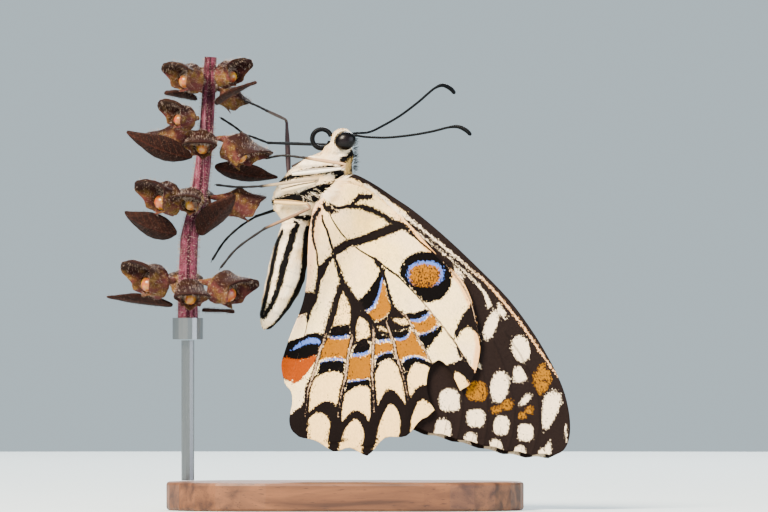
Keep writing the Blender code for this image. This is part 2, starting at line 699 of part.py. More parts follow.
def main():
    clear_scene()
    parts = new_collection("swallowtail_butterfly")
    cutters = new_collection("cutters")
    walnut = material("oiled_walnut", (0.09, 0.045, 0.025), 0.45)
    steel = material("brushed_steel", (0.56, 0.57, 0.58), 0.32, 1.0)
    stem_skin = material("basil_stem", (0.13, 0.03, 0.06), 0.6)
    calyx_skin = material("basil_calyx", (0.14, 0.06, 0.035), 0.7)
    bract_skin = material("basil_bract", (0.07, 0.022, 0.018), 0.65)
    wing_scales = material("wing_scales", (0.72, 0.6, 0.43), 0.6)
    body_scales = material("body_scales", (0.8, 0.72, 0.58), 0.75)
    eye_surface = material("compound_eye", (0.012, 0.01, 0.012), 0.2)
    dark_cuticle = material("dark_cuticle", (0.015, 0.013, 0.014), 0.35)
    leg_scales = material("leg_scales", (0.5, 0.4, 0.3), 0.6)
    stand_base(walnut, parts)
    stand_rod(steel, parts)
    stand_ferrule(steel, parts)
    perch(stem_skin, calyx_skin, bract_skin, parts)
    wings(wing_scales, parts, cutters)
    head(body_scales, eye_surface, parts, cutters)
    trunk(body_scales, parts)
    antennae(dark_cuticle, parts)
    proboscis(dark_cuticle, parts)
    legs(leg_scales, parts)


main()
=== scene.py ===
# %% [markdown]
# # A chequered swallowtail on flowering basil
# A museum shows such a butterfly life-size, on the stem where it was found resting. The solids of the
# model come first, as a fixed frame: every new piece below takes its place from them.

# %% Load the frame
import math

import bmesh
import bpy
import numpy as np
from mathutils import Matrix, Vector, noise


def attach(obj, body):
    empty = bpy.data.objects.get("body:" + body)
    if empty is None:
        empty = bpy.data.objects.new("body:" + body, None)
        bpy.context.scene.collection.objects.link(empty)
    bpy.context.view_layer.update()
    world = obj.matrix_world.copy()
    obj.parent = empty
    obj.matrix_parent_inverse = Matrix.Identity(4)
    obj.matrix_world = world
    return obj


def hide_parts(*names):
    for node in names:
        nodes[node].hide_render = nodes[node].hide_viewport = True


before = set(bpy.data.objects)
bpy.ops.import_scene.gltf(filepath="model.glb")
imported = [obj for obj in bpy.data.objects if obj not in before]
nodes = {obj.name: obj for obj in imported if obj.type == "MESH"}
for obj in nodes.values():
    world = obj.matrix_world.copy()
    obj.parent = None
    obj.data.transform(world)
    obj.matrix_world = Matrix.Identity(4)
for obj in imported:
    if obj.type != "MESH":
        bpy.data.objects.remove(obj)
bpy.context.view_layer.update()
MM = 0.001

# %% [markdown]
# ## Colour and nodes
# A colour picked on a screen is sRGB, and the shader wants linear light, so one function turns one into
# the other. Another adds a node with its settings and links, which keeps each material short to read.

# %% Helpers for materials
def linear(colour):
    """The linear RGBA of an sRGB hex colour."""
    channels = [int(colour[i : i + 2], 16) / 255 for i in (1, 3, 5)]
    return (*[c / 12.92 if c <= 0.04045 else ((c + 0.055) / 1.055) ** 2.4 for c in channels], 1.0)


def add(tree, kind, inputs=None, **settings):
    """A new node in tree. Each input is given a value, or the socket or the node that feeds it."""
    made = tree.nodes.new("ShaderNode" + kind)
    for name, value in settings.items():
        setattr(made, name, value)
    for name, value in (inputs or {}).items():
        if isinstance(value, bpy.types.Node):
            value = value.outputs[0]
        if isinstance(value, bpy.types.NodeSocket):
            tree.links.new(value, made.inputs[name])
        else:
            made.inputs[name].default_value = value
    return made


def new_material(name, **values):
    """A material and its shader, with values set on the shader's own sockets."""
    made = bpy.data.materials.new(name)
    made.use_nodes = True
    shader = made.node_tree.nodes["Principled BSDF"]
    for socket, value in values.items():
        shader.inputs[socket.replace("_", " ")].default_value = value
    return made, made.node_tree, shader


# %% Helpers for meshes
def finish_piece(name, bm, materials, replaced=(), smooth_angle=50):
    """The bmesh as a piece that rides on the model, in place of the solids that it stands for."""
    mesh = bpy.data.meshes.new(name)
    bm.to_mesh(mesh)
    bm.free()
    mesh.shade_smooth()
    mesh.set_sharp_from_angle(angle=math.radians(smooth_angle))
    piece = bpy.data.objects.new(name, mesh)
    bpy.context.scene.collection.objects.link(piece)
    for material in materials:
        mesh.materials.append(material)
    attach(piece, "root")
    if replaced:
        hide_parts(*replaced)
    return piece


def store(mesh, name, values, kind="FLOAT"):
    """Writes one value for each vertex as an attribute that a material can read."""
    layer = mesh.attributes.new(name, kind, "POINT")
    key = {"FLOAT": "value", "FLOAT_VECTOR": "vector", "FLOAT_COLOR": "color"}[kind]
    layer.data.foreach_set(key, np.asarray(values, np.float32).ravel())


def places(mesh):
    """The mesh's vertices in millimetres, as an array."""
    flat = np.empty(len(mesh.vertices) * 3, np.float32)
    mesh.vertices.foreach_get("co", flat)
    return flat.reshape(-1, 3).astype(float) / MM


def smooth_path(points, per_span):
    """Points on a Catmull-Rom curve through points."""
    points = [Vector(p) for p in points]
    ends = [2 * points[0] - points[1], *points, 2 * points[-1] - points[-2]]
    path = []
    for a, b, c, d in zip(ends, ends[1:], ends[2:], ends[3:]):
        for step in range(per_span):
            t = step / per_span
            square, cube = 2 * a - 5 * b + 4 * c - d, 3 * b - a - 3 * c + d
            path.append(0.5 * (2 * b + (c - a) * t + square * t**2 + cube * t**3))
    path.append(points[-1])
    return path


# %% [markdown]
# ## The wings' outlines
# A wing's front edge, the costa, is stiff and smooth. Its outer margin is scalloped: it swells where a
# vein ends and dips between veins. Each outline is given in millimetres from the wing's root.

# %% Outlines
FORE_ROOT = (0.7, 45.9)
HIND_ROOT = (-2.8, 43.4)
FORE_COSTA = (
    (-0.3, 1.1), (0.9, 1.0), (3.4, -0.3), (6.1, -2.1), (8.9, -4.0), (12.8, -7.2),
    (17.3, -11.4), (22.2, -16.4), (25.8, -21.3), (28.2, -25.4), (29.8, -28.9), (30.6, -32.0),
    (30.8, -34.6), (30.5, -36.4), (29.8, -37.6), (28.6, -38.25),
)
FORE_CRESTS = (
    (28.6, -38.25), (25.4, -38.2), (22.1, -37.7), (18.7, -36.9), (15.0, -36.0), (11.2, -35.1), (7.4, -34.0),
)
FORE_SCALLOPS = (0.28,) * 6
FORE_INNER = (
    (7.4, -34.0), (5.6, -32.9), (4.3, -30.6), (3.0, -26.6), (1.4, -20.6), (0.2, -13.6), (-0.6, -7.4),
    (-1.2, -3.0), (-1.3, -0.6), (-0.3, 1.1),
)
HIND_COSTA = (
    (0.4, 0.9), (2.6, 2.2), (4.4, 2.0), (6.4, 1.0), (9.2, -1.2), (11.8, -3.4), (14.9, -6.9), (17.3, -9.3),
    (19.3, -11.5), (20.6, -14.4), (21.3, -17.4), (21.7, -20.3), (21.3, -23.3), (20.4, -25.7),
)
HIND_CRESTS = ((20.4, -25.7), (16.5, -29.9), (11.4, -33.0), (5.9, -35.8), (1.2, -35.2), (-3.7, -33.1))
HIND_SCALLOPS = (0.7, 0.9, 1.15, 0.85, 0.45)
HIND_INNER = (
    (-3.7, -33.1), (-4.7, -32.1), (-5.0, -30.6), (-4.6, -28.6), (-4.7, -26.9), (-5.6, -25.6), (-6.1, -23.2),
    (-5.6, -21.2), (-4.8, -18.9), (-3.8, -16.4), (-3.0, -14.0), (-2.5, -11.2), (-2.4, -8.4), (-2.3, -5.4),
    (-2.0, -3.2), (-1.4, -0.8), (0.4, 0.9),
)
HIND_TEAR = (
    (15.3, -29.4), (14.5, -27.5), (14.2, -25.5), (14.6, -23.6), (15.6, -22.5), (16.4, -22.6), (17.2, -23.4),
    (18.1, -25.0), (18.9, -26.7),
)


def outline(costa, crests, scallops, inner, per_span=8):
    """The closed outline: costa, scalloped margin, inner edge."""
    margin = []
    for (a, b), depth in zip(zip(crests, crests[1:]), scallops):
        a, b = Vector(a), Vector(b)
        inward = -((a + b) / 2).normalized()
        for step in range(per_span):
            t = step / per_span
            margin.append(a.lerp(b, t) + inward * depth * math.sin(math.pi * t) ** 2)
    return smooth_path(costa, 4)[:-1] + margin + smooth_path(inner, 4)[:-1]


def torn(path, tear):
    """The outline with a bite: its points between the tear's two ends give way to the tear."""
    tear = smooth_path(tear, 4)
    first = min(range(len(path)), key=lambda i: (path[i] - tear[-1]).length)
    last = min(range(len(path)), key=lambda i: (path[i] - tear[0]).length)
    return path[:first] + tear[::-1] + path[last + 1 :]


fore_outline = outline(FORE_COSTA, FORE_CRESTS, FORE_SCALLOPS, FORE_INNER)
hind_outline = outline(HIND_COSTA, HIND_CRESTS, HIND_SCALLOPS, HIND_INNER)
torn_outline = torn(hind_outline, HIND_TEAR)
print("outline points:", len(fore_outline), len(hind_outline), len(torn_outline))

# %% [markdown]
# ## A sheet cut like graph paper
# The colours will be held by the vertices, so a wing needs many of them, evenly spread. The outline is
# filled as one flat face and cut across and along. A bisect keeps the outline exact, which a grid with
# its outside deleted would not.

# %% Cut a sheet
PITCH = 0.2  # spacing of the cuts


def wing_sheet(path):
    """A flat bmesh of the outline in the XZ plane, in millimetres, cut to squares of PITCH."""
    bm = bmesh.new()
    rim = [bm.verts.new((x, 0, z)) for x, z in path]
    edges = [bm.edges.new(pair) for pair in zip(rim, rim[1:] + rim[:1])]
    bmesh.ops.contextual_create(bm, geom=edges)
    for axis in (0, 2):
        low = min(vert.co[axis] for vert in bm.verts)
        high = max(vert.co[axis] for vert in bm.verts)
        normal = Vector((axis == 0, 0, axis == 2))
        for step in range(1, int((high - low) / PITCH) + 1):
            place = normal * (low + step * PITCH - 0.37 * PITCH)
            everything = bm.verts[:] + bm.edges[:] + bm.faces[:]
            bmesh.ops.bisect_plane(bm, geom=everything, plane_co=place, plane_no=normal, dist=1e-4)
    return bm


sheets = {
    "fore": wing_sheet(fore_outline),
    "hind": wing_sheet(hind_outline),
    "torn": wing_sheet(torn_outline),
}
print("faces:", {name: len(sheet.faces) for name, sheet in sheets.items()})

# %% [markdown]
# ## Ribs: the fan of veins
# A wing is a fan: its veins, here called ribs, run out from the root. Each rib is told by its bearing,
# in degrees below the level, at a few distances from the root. Between two ribs lies a lane, and the
# butterfly's marks are painted lane by lane. A branch follows its parent rib until it leaves it.

# %% Ribs of the hindwing
CUBITAL = ((1.9, 103.0), (4.2, 86.2), (7.1, 80.9), (9.3, 79.5), (11.3, 77.9))
CELL_END = ((2.5, 70.6), (10.8, 49.7), (13.1, 51.5), (16.0, 56.0), (17.7, 57.6))
HIND_RIBS = (
    ("inner", ((3.6, 113.0), (7.3, 107.8), (10.1, 103.6), (14.4, 103.0), (17.0, 103.7), (19.2, 104.0),
               (21.6, 105.4), (24.0, 110.8), (28.0, 98.0), (33.0, 96.0))),
    ("anal", ((2.8, 120.5), (7.4, 98.7), (10.3, 94.7), (13.4, 95.4), (15.7, 98.2), (18.4, 98.3),
              (21.3, 99.8), (24.5, 100.5), (28.4, 99.9))),
    ("cubital_2", CUBITAL + ((14.1, 83.7), (16.4, 87.1), (18.9, 89.6), (21.0, 91.9), (23.6, 93.4),
                             (26.7, 95.1), (32.9, 95.4))),
    ("cubital_1", CUBITAL + ((15.2, 72.9), (16.2, 75.5), (17.8, 77.7), (19.7, 78.9), (22.2, 81.7),
                             (24.7, 83.2), (26.7, 84.9), (29.9, 86.5), (34.7, 87.7))),
    ("median_3", CUBITAL + ((15.2, 72.9), (18.2, 68.9), (20.1, 70.1), (22.3, 72.6), (25.2, 74.9),
                            (27.4, 75.8), (30.6, 77.0), (32.1, 78.0), (35.9, 80.4))),
    ("median_2", CELL_END + ((18.9, 62.7), (19.1, 63.4), (22.4, 64.4), (23.9, 65.4), (27.4, 66.2),
                             (31.3, 67.9), (34.7, 70.7))),
    ("median_1", CELL_END + ((20.0, 55.0), (22.5, 55.9), (27.1, 56.8), (31.8, 57.6))),
    ("radial", ((2.5, 70.6), (10.8, 49.7), (14.8, 46.2), (19.2, 46.2), (23.6, 46.9), (27.3, 47.7),
                (29.5, 49.0), (31.4, 49.7))),
    ("subcostal", ((1.9, 36.0), (3.2, 15.3), (5.4, 10.4), (7.9, 14.3), (10.3, 18.6), (11.9, 19.3),
                   (14.5, 23.9), (18.1, 27.2), (21.3, 30.4), (23.3, 32.7), (25.0, 35.2), (27.4, 39.6),
                   (29.7, 43.1))),
)


def bearing_of(rib, distance):
    """A rib's bearing at each distance from the root."""
    return np.interp(distance, *zip(*rib))


def polar(points, root):
    """Distance and bearing of each (x, z) from the wing's root."""
    across, up = points[:, 0] - root[0], points[:, 1] - root[1]
    return np.hypot(across, up), np.degrees(np.arctan2(-up, across))


# %% [markdown]
# ## Marks
# A mark fills part of a lane: from one share of its width to another, and from an inner arc to an outer
# arc, each given by its distance from the root at its left end, middle and right end. For each vertex
# the code finds how far outside the mark it lies, less than nothing being inside. Such a distance stays
# smooth between vertices, so an edge comes out sharp however coarse the mesh is, and the material can
# fray it as scales do.

# %% Measure a mark
FAR = 9.0  # a distance that is safely outside


def arc(ends_and_middle, share):
    """The parabola through three values at shares 0, 0.5 and 1."""
    a, b, c = ends_and_middle
    return a * (1 - share) * (1 - 2 * share) + 4 * b * share * (1 - share) + c * share * (2 * share - 1)


def rounded_max(a, b, radius):
    """The larger of a and b, with the corner where they meet rounded off."""
    overlap = np.clip(radius - np.abs(a - b), 0, None)
    return np.maximum(a, b) + overlap**2 / (4 * radius)


def mark_distance(distance, bearing, left, right, start, end, inner, outer):
    """Millimetres from a mark's edge, below zero inside it."""
    left, right = bearing_of(left, distance), bearing_of(right, distance)
    width = np.radians(left - right) * distance
    with np.errstate(divide="ignore", invalid="ignore"):
        share = np.where(width > 0.1, (left - bearing) / (left - right), 0.5)
    along = np.clip((share - start) / (end - start), 0, 1)
    radial = np.maximum(arc(inner, along) - distance, distance - arc(outer, along))
    sideways = np.maximum(start - share, share - end) * width
    return np.where(width > 0.1, rounded_max(radial, sideways, 0.45), FAR)


# %% [markdown]
# ## The hindwing's marks
# From the root outward: a cream base with one dark band, the marks of the cell, a row of black, blue
# and orange across the disc, a row of long cream patches, and the lunules along the margin.

# %% Marks of the hindwing
# (paint, lane's left rib, from share, to share, inner arc, outer arc)
OUT = (40, 40, 40)
HIND_MARKS = (
    ("brown", "inner", -0.1, 1.1, (13.4, 13.0, 13.4), (17.0, 16.3, 15.9)),
    ("black", "inner", -1.0, 1.1, (22.2, 20.4, 19.1), (27.0, 25.9, 25.9)),
    ("blue", "inner", 0.5, 1.1, (21.2, 20.4, 19.7), (21.8, 21.3, 20.9)),
    ("red", "inner", 0.42, 1.1, (22.7, 22.7, 22.7), (25.4, 25.7, 25.8)),
    ("brown", "anal", -0.1, 1.1, (9.7, 8.2, 7.0), (12.6, 9.4, 8.0)),
    ("black", "anal", -0.1, 1.05, (19.3, 18.6, 18.9), (22.9, 22.5, 21.5)),
    ("blue", "anal", -0.1, 0.98, (20.1, 19.3, 19.9), (21.0, 20.2, 20.4)),
    ("red", "anal", -0.1, 1.0, (22.7, 22.3, 21.5), (25.9, 25.4, 22.0)),
    ("brown", "anal", -0.1, 1.1, (30.9, 29.5, 27.6), OUT),
    ("brown", "cubital_2", -0.1, 1.1, (5, 5, 5), (17.9, 17.8, 18.0)),
    ("cream", "cubital_2", 0.18, 0.66, (14.1, 12.9, 14.0), (17.9, 17.7, 17.9)),
    ("cream", "cubital_2", 0.4, 0.96, (14.0, 15.2, 17.2), (17.8, 17.7, 17.9)),
    ("black", "cubital_2", 0.1, 0.96, (17.9, 17.6, 17.9), (19.4, 19.4, 19.3)),
    ("blue", "cubital_2", 0.1, 0.95, (19.1, 19.15, 19.1), (19.7, 19.75, 19.7)),
    ("orange", "cubital_2", 0.03, 0.98, (19.1, 19.6, 19.5), (22.6, 22.1, 22.5)),
    ("blue", "cubital_2", 0.1, 0.94, (22.2, 22.0, 22.3), (22.8, 22.5, 22.8)),
    ("black", "cubital_2", 0.1, 0.95, (22.6, 22.4, 22.7), (25.0, 24.0, 24.6)),
    ("brown", "cubital_2", -0.1, 1.1, (25.0, 24.0, 24.6), OUT),
    ("cream", "cubital_2", 0.07, 0.93, (25.0, 23.8, 24.7), (30.1, 28.2, 28.9)),
    ("cream", "cubital_2", 0.04, 0.78, (31.2, 29.8, 31.0), OUT),
    ("brown", "cubital_1", -0.1, 1.1, (5, 5, 5), (21.3, 20.6, 21.3)),
    ("cream", "cubital_1", 0.18, 0.82, (18.3, 17.0, 18.1), (20.3, 20.2, 20.2)),
    ("black", "cubital_1", 0.1, 0.9, (21.4, 20.1, 21.4), (22.1, 22.2, 22.1)),
    ("blue", "cubital_1", 0.08, 0.92, (21.9, 21.95, 21.9), (22.5, 22.6, 22.4)),
    ("orange", "cubital_1", 0.04, 0.98, (22.0, 22.45, 22.3), (25.4, 25.6, 25.7)),
    ("blue", "cubital_1", 0.1, 0.92, (25.3, 25.3, 25.4), (25.8, 25.8, 25.8)),
    ("black", "cubital_1", 0.08, 0.93, (25.6, 25.55, 25.7), (27.3, 26.5, 27.0)),
    ("brown", "cubital_1", -0.1, 1.1, (27.2, 26.4, 26.9), OUT),
    ("cream", "cubital_1", 0.1, 0.9, (27.3, 26.4, 27.0), (31.5, 29.7, 32.0)),
    ("cream", "cubital_1", 0.12, 0.81, (33.6, 31.0, 33.4), OUT),
    ("brown", "median_3", -0.1, 1.1, (6.8, 6.4, 6.1), (8.0, 7.7, 7.4)),
    ("black", "median_3", -0.1, 1.1, (15.0, 13.9, 11.9), (16.2, 16.2, 12.9)),
    ("blue", "median_3", -0.1, 0.97, (16.0, 16.0, 12.9), (16.5, 16.6, 13.7)),
    ("orange", "median_3", 0.0, 0.95, (16.4, 16.4, 13.6), (18.1, 18.5, 18.1)),
    ("brown", "median_3", -0.1, 1.1, (18.3, 18.5, 18.1), (20.3, 20.6, 21.2)),
    ("cream", "median_3", 0.35, 1.0, (19.2, 19.6, 20.3), (19.6, 20.1, 20.9)),
    ("black", "median_3", 0.02, 0.98, (19.9, 20.3, 21.0), (20.9, 21.2, 21.6)),
    ("blue", "median_3", 0.0, 1.0, (20.8, 21.1, 21.5), (21.3, 21.6, 21.9)),
    ("orange", "median_3", 0.03, 0.98, (21.1, 21.6, 21.9), (23.1, 22.9, 23.3)),
    ("blue", "median_3", 0.15, 0.9, (22.9, 22.7, 23.0), (23.3, 23.1, 23.5)),
    ("black", "median_3", 0.12, 0.94, (23.2, 22.9, 23.3), (24.6, 23.9, 24.5)),
    ("brown", "median_3", -0.1, 1.1, (24.6, 23.9, 24.5), OUT),
    ("cream", "median_3", 0.1, 0.92, (25.4, 23.8, 25.1), (29.9, 28.0, 30.9)),
    ("cream", "median_3", 0.12, 0.78, (33.4, 30.0, 32.8), OUT),
    ("brown", "median_2", -0.1, 1.1, (17.5, 17.5, 17.5), (20.4, 21.2, 21.6)),
    ("cream", "median_2", 0.4, 1.0, (19.0, 19.6, 20.0), (19.7, 20.6, 21.0)),
    ("black", "median_2", -0.05, 0.86, (20.0, 21.0, 21.3), (21.4, 22.3, 21.9)),
    ("blue", "median_2", 0.0, 0.88, (21.2, 22.1, 21.8), (21.8, 22.7, 22.3)),
    ("orange", "median_2", 0.02, 0.98, (21.6, 22.5, 21.6), (25.1, 24.9, 26.7)),
    ("blue", "median_2", 0.1, 0.88, (24.9, 24.8, 26.2), (25.4, 25.2, 26.6)),
    ("black", "median_2", 0.08, 0.92, (25.3, 25.0, 26.5), (27.4, 26.2, 27.6)),
    ("brown", "median_2", -0.1, 1.1, (27.3, 26.1, 27.5), OUT),
    ("cream", "median_2", 0.07, 0.93, (27.6, 26.1, 28.1), (30.1, 29.3, 31.6)),
    ("cream", "median_2", 0.04, 0.6, (33.0, 31.1, 33.0), OUT),
    ("brown", "median_1", -0.1, 1.1, (5, 5, 5), (12.4, 12.4, 12.2)),
    ("black", "median_1", -0.05, 1.0, (19.1, 20.2, 20.7), (20.3, 21.4, 21.3)),
    ("blue", "median_1", 0.0, 0.98, (20.2, 21.2, 21.2), (20.8, 21.9, 21.7)),
    ("orange", "median_1", 0.02, 0.98, (20.6, 21.8, 21.6), (22.7, 23.4, 23.4)),
    ("blue", "median_1", 0.05, 0.96, (22.5, 23.2, 23.3), (23.0, 23.6, 23.7)),
    ("black", "median_1", 0.02, 0.98, (22.8, 23.5, 23.7), (25.6, 24.9, 24.6)),
    ("brown", "median_1", -0.1, 1.1, (28.0, 28.8, 29.5), OUT),
    ("cream", "median_1", 0.34, 0.72, (31.6, 30.3, 31.2), OUT),
    ("brown", "radial", -0.1, 0.75, (0.5, 0.5, 0.5), (2.4, 2.3, 2.6)),
    ("brown", "radial", -0.1, 1.1, (6.1, 7.7, 10.6), (7.5, 9.4, 12.5)),
    ("brown", "radial", 0.08, 1.1, (26.2, 25.1, 25.2), (27.2, 26.7, 29.6)),
    ("brown", "radial", -0.1, 0.13, (27.2, 28.0, 30.0), OUT),
)

# %% [markdown]
# The eyespot near the hindwing's front edge is made of ovals, one on another: a black disc, a blue ring
# and an orange centre that breaks up into single scales towards its lower side.

# %% Ovals
# (paint, distance, bearing, half length, half width, lean from the bearing, taper, squareness)
HIND_OVALS = (
    ("black", 17.7, 37.6, 3.7, 3.6, -37, 0.0, 2.3),
    ("blue", 17.45, 36.3, 2.62, 1.86, -37, 0.0, 2.2),
    ("orange", 17.5, 37.2, 2.2, 1.6, -37, 0.0, 2.2),
)
# A dark spur stands on the subcostal vein near the root, and a dark arc runs round the root itself.
HIND_STRIPES = (
    ("brown", ((3.4, 15, 0.9), (4.2, 3, 1.1), (4.8, -5, 1.0), (5.6, -5, 0.85), (6.7, -4, 0.7))),
    ("brown", ((0.2, 100, 0.6), (0.8, 95, 0.6), (1.5, 75, 0.8), (2.2, 45, 0.6))),
)


def oval_distance(points, root, distance, bearing, length, width, lean, taper, squareness):
    """Millimetres from the edge of a tapered oval, below zero inside it."""
    place, turn = math.radians(bearing), math.radians(bearing + lean)
    across = points[:, 0] - root[0] - distance * math.cos(place)
    up = points[:, 1] - root[1] + distance * math.sin(place)
    along = (across * math.cos(turn) - up * math.sin(turn)) / length
    aside = (across * math.sin(turn) + up * math.cos(turn)) / (width * (1 + taper * np.clip(along, -1, 1)))
    reach = (np.abs(along) ** squareness + np.abs(aside) ** squareness) ** (1 / squareness)
    return (reach - 1) * min(length, width)


# %% [markdown]
# ## The forewing's marks
# Only its front edge and its outer strip show below the hindwing. It is dark, with a pale stripe along
# the costa, white patches in and past the cell, orange spots, and two rows of pale spots by the margin.

# %% Marks of the forewing
FORE_OVALS = (
    ("cream", 19.8, 40.0, 1.25, 0.48, 15, 0.6, 2.0),
    ("cream", 28.1, 45.4, 2.46, 0.87, 66, 0.0, 2.2),
    ("cream", 27.7, 40.3, 1.40, 0.48, 27, 0.6, 2.0),
    ("cream", 33.4, 44.3, 1.98, 1.30, 31, 0.0, 2.1),
    ("cream", 35.8, 48.7, 1.21, 0.92, 29, 0.35, 3.0),
    ("cream", 39.1, 51.1, 1.16, 0.53, -96, 0.0, 2.2),
    ("cream", 35.5, 53.9, 2.27, 1.35, 46, -0.1, 2.6),
    ("cream", 42.5, 48.9, 3.01, 1.16, 56, -0.45, 2.4),
    ("cream", 31.3, 54.8, 0.63, 0.29, 5, 0.3, 2.0),
    ("orange", 40.6, 53.6, 0.72, 0.58, -54, 0.0, 2.0),
    ("orange", 40.6, 51.8, 0.72, 0.63, -82, 0.0, 2.0),
    ("orange", 37.9, 57.2, 0.96, 0.58, -67, 0.0, 2.0),
    ("orange", 38.1, 54.7, 0.92, 0.77, -75, 0.0, 2.2),
    ("orange", 34.2, 58.7, 1.45, 1.54, 36, 0.1, 3.0),
    ("orange", 38.5, 45.8, 2.29, 1.40, 49, 0.0, 1.5),
    ("cream", 33.5, 65.5, 1.69, 1.50, 23, 0.1, 3.0),
    ("cream", 37.4, 62.0, 1.30, 1.35, 28, 0.0, 3.0),
    ("cream", 40.1, 58.1, 1.45, 1.16, 40, 0.0, 3.0),
    ("cream", 42.8, 55.0, 1.33, 1.16, 43, 0.0, 3.0),
    ("cream", 36.9, 69.4, 1.45, 1.21, 21, 0.1, 3.0),
    ("cream", 39.8, 64.9, 1.06, 0.96, 25, 0.1, 3.0),
    ("cream", 42.2, 61.1, 1.01, 0.92, 31, 0.1, 3.0),
    ("cream", 44.6, 57.8, 0.96, 0.87, 34, 0.1, 3.0),
    ("cream", 46.6, 54.7, 0.82, 0.68, 35, 0.0, 2.5),
    ("cream", 46.5, 53.4, 1.25, 0.48, 45, 0.2, 2.5),
    ("cream", 46.2, 49.2, 1.45, 0.24, 43, 0.0, 2.0),
)
# Stripes: (paint, ((distance, bearing, width), ...))
FORE_STRIPES = (
    ("brown", ((1.2, -30, 0.5), (3.4, 11, 0.85), (6.45, 22.0, 0.95), (9.76, 26.4, 1.0), (14.7, 30.8, 1.2))),
    ("cream", ((2.0, 10, 0.4), (3.7, 22.6, 0.55), (7.4, 31.3, 0.5), (10.3, 32.4, 0.42), (13.4, 33.8, 0.36),
               (17.4, 35.1, 0.32), (20.5, 35.75, 0.3), (23.3, 36.3, 0.3), (26.0, 37.4, 0.3),
               (28.9, 38.7, 0.3), (32.0, 40.1, 0.3), (34.9, 41.4, 0.27), (37.4, 42.4, 0.22), (39.8, 43.2, 0.1))),
    ("cream", ((10.9, 36.7, 0.15), (17.0, 37.4, 0.15), (20.2, 38.0, 0.18), (22.6, 38.6, 0.25),
               (24.4, 39.5, 0.4), (26.2, 41.8, 0.8))),
)


def stripe_distance(distance, bearing, stripe):
    """Millimetres from the edge of a stripe that runs outward, below zero inside it."""
    reach, bearings, widths = zip(*stripe)
    sideways = np.abs(np.radians(bearing - np.interp(distance, reach, bearings))) * distance
    beyond = np.maximum(reach[0] - distance, distance - reach[-1])
    return np.maximum(sideways - np.interp(distance, reach, widths) / 2, beyond)


def path_distance(points, path):
    """Millimetres from a line through the points of a path."""
    nearest = np.full(len(points), FAR)
    for start, end in zip(path, path[1:]):
        start, step = np.array(start), np.array(end) - np.array(start)
        share = np.clip((points - start) @ step / (step @ step), 0, 1)
        nearest = np.minimum(nearest, np.linalg.norm(points - start - share[:, None] * step, axis=1))
    return nearest


# %% Paint both wings
PAINTS = ("brown", "cream", "black", "blue", "orange", "red")


def hind_fields(points):
    """For each paint, how far each point lies outside its nearest mark."""
    distance, bearing = polar(points, HIND_ROOT)
    ribs = [rib for _, rib in HIND_RIBS]
    lane = {name: number for number, (name, _) in enumerate(HIND_RIBS)}
    fields = {paint: np.full(len(points), FAR) for paint in PAINTS}
    for paint, rib, start, end, inner, outer in HIND_MARKS:
        left, right = ribs[lane[rib]], ribs[lane[rib] + 1]
        found = mark_distance(distance, bearing, left, right, start, end, inner, outer)
        fields[paint] = np.minimum(fields[paint], found)
    beyond_radial = np.radians(bearing - bearing_of(ribs[lane["radial"]], distance)) * distance + 0.1
    for paint, *shape in HIND_OVALS:
        found = rounded_max(oval_distance(points, HIND_ROOT, *shape), beyond_radial, 0.4)
        fields[paint] = np.minimum(fields[paint], found)
    for paint, stripe in HIND_STRIPES:
        fields[paint] = np.minimum(fields[paint], stripe_distance(distance, bearing, stripe))
    return fields


def fore_fields(points):
    """The same for the forewing, where brown is the ground and the other marks lie on it."""
    distance, bearing = polar(points, FORE_ROOT)
    fields = {paint: np.full(len(points), FAR) for paint in PAINTS}
    # past the root area all is brown, and within it the front edge only
    root_area = 9.0  # mm
    front = path_distance(points - FORE_ROOT, FORE_COSTA)
    edge_width = np.interp(distance, (0, 3, 10, 20), (0.5, 0.88, 0.72, 0.42))
    fields["brown"] = np.minimum(root_area - distance, front - edge_width)
    for paint, *shape in FORE_OVALS:
        fields[paint] = np.minimum(fields[paint], oval_distance(points, FORE_ROOT, *shape) + 0.1)
    for paint, stripe in FORE_STRIPES:
        fields[paint] = np.minimum(fields[paint], stripe_distance(distance, bearing, stripe))
    return fields


# %% [markdown]
# Some scales are tinted between two paints: the front edge is washed with orange, the inner edge near
# the root with pink, and black scales are strewn over the orange of the eyespot. Each tint is a share,
# stored at the vertices like the marks.

# %% Tints over the paints
def hind_tints(points):
    """For each point: share of orange in the cream, share of pink, and how densely black scales lie on orange."""
    distance, bearing = polar(points, HIND_ROOT)
    front = path_distance(points - HIND_ROOT, HIND_COSTA)
    orange = np.clip((0.8 - front) / 0.25, 0, 1) * np.clip((distance - 8) / 5, 0, 1)
    pink = np.clip((bearing - 97) / 5, 0, 1) * np.clip((19 - distance) / 3, 0, 1)
    _, reach, turn, *_ = HIND_OVALS[2]
    middle = np.array(HIND_ROOT) + reach * np.array((math.cos(math.radians(turn)), -math.sin(math.radians(turn))))
    away = np.linalg.norm(points - middle, axis=1)
    low = np.clip(0.5 - (points[:, 1] - middle[1]) / 3, 0, 1)
    return np.stack([orange, pink, np.where(away < 4, 0.1 + 0.35 * low, 0.0)], 1)


def fore_tints(points):
    """The same three tints for the forewing, whose costal stripe turns orange towards the tip."""
    distance, bearing = polar(points, FORE_ROOT)
    along_stripe = stripe_distance(distance, bearing, FORE_STRIPES[1][1])
    orange = np.clip((0.5 - along_stripe) / 0.3, 0, 1) * np.clip((distance - 18) / 6, 0, 1)
    return np.stack([orange, 0 * orange, np.full(len(points), 0.26)], 1)


# %% [markdown]
# ## Dark veins, pale veins
# Each vein is a stiff tube under the scales. Towards the root it wears dark scales, between the orange
# patches pale ones, and past them a thin pale line that fades out before the lobes of the margin. A vein
# thinner than the mesh can't be held as a distance that is never below zero, so its side is kept as well:
# less than nothing to its left, more to its right. The value counts in half widths, so the dark line
# lies between -1 and 1.

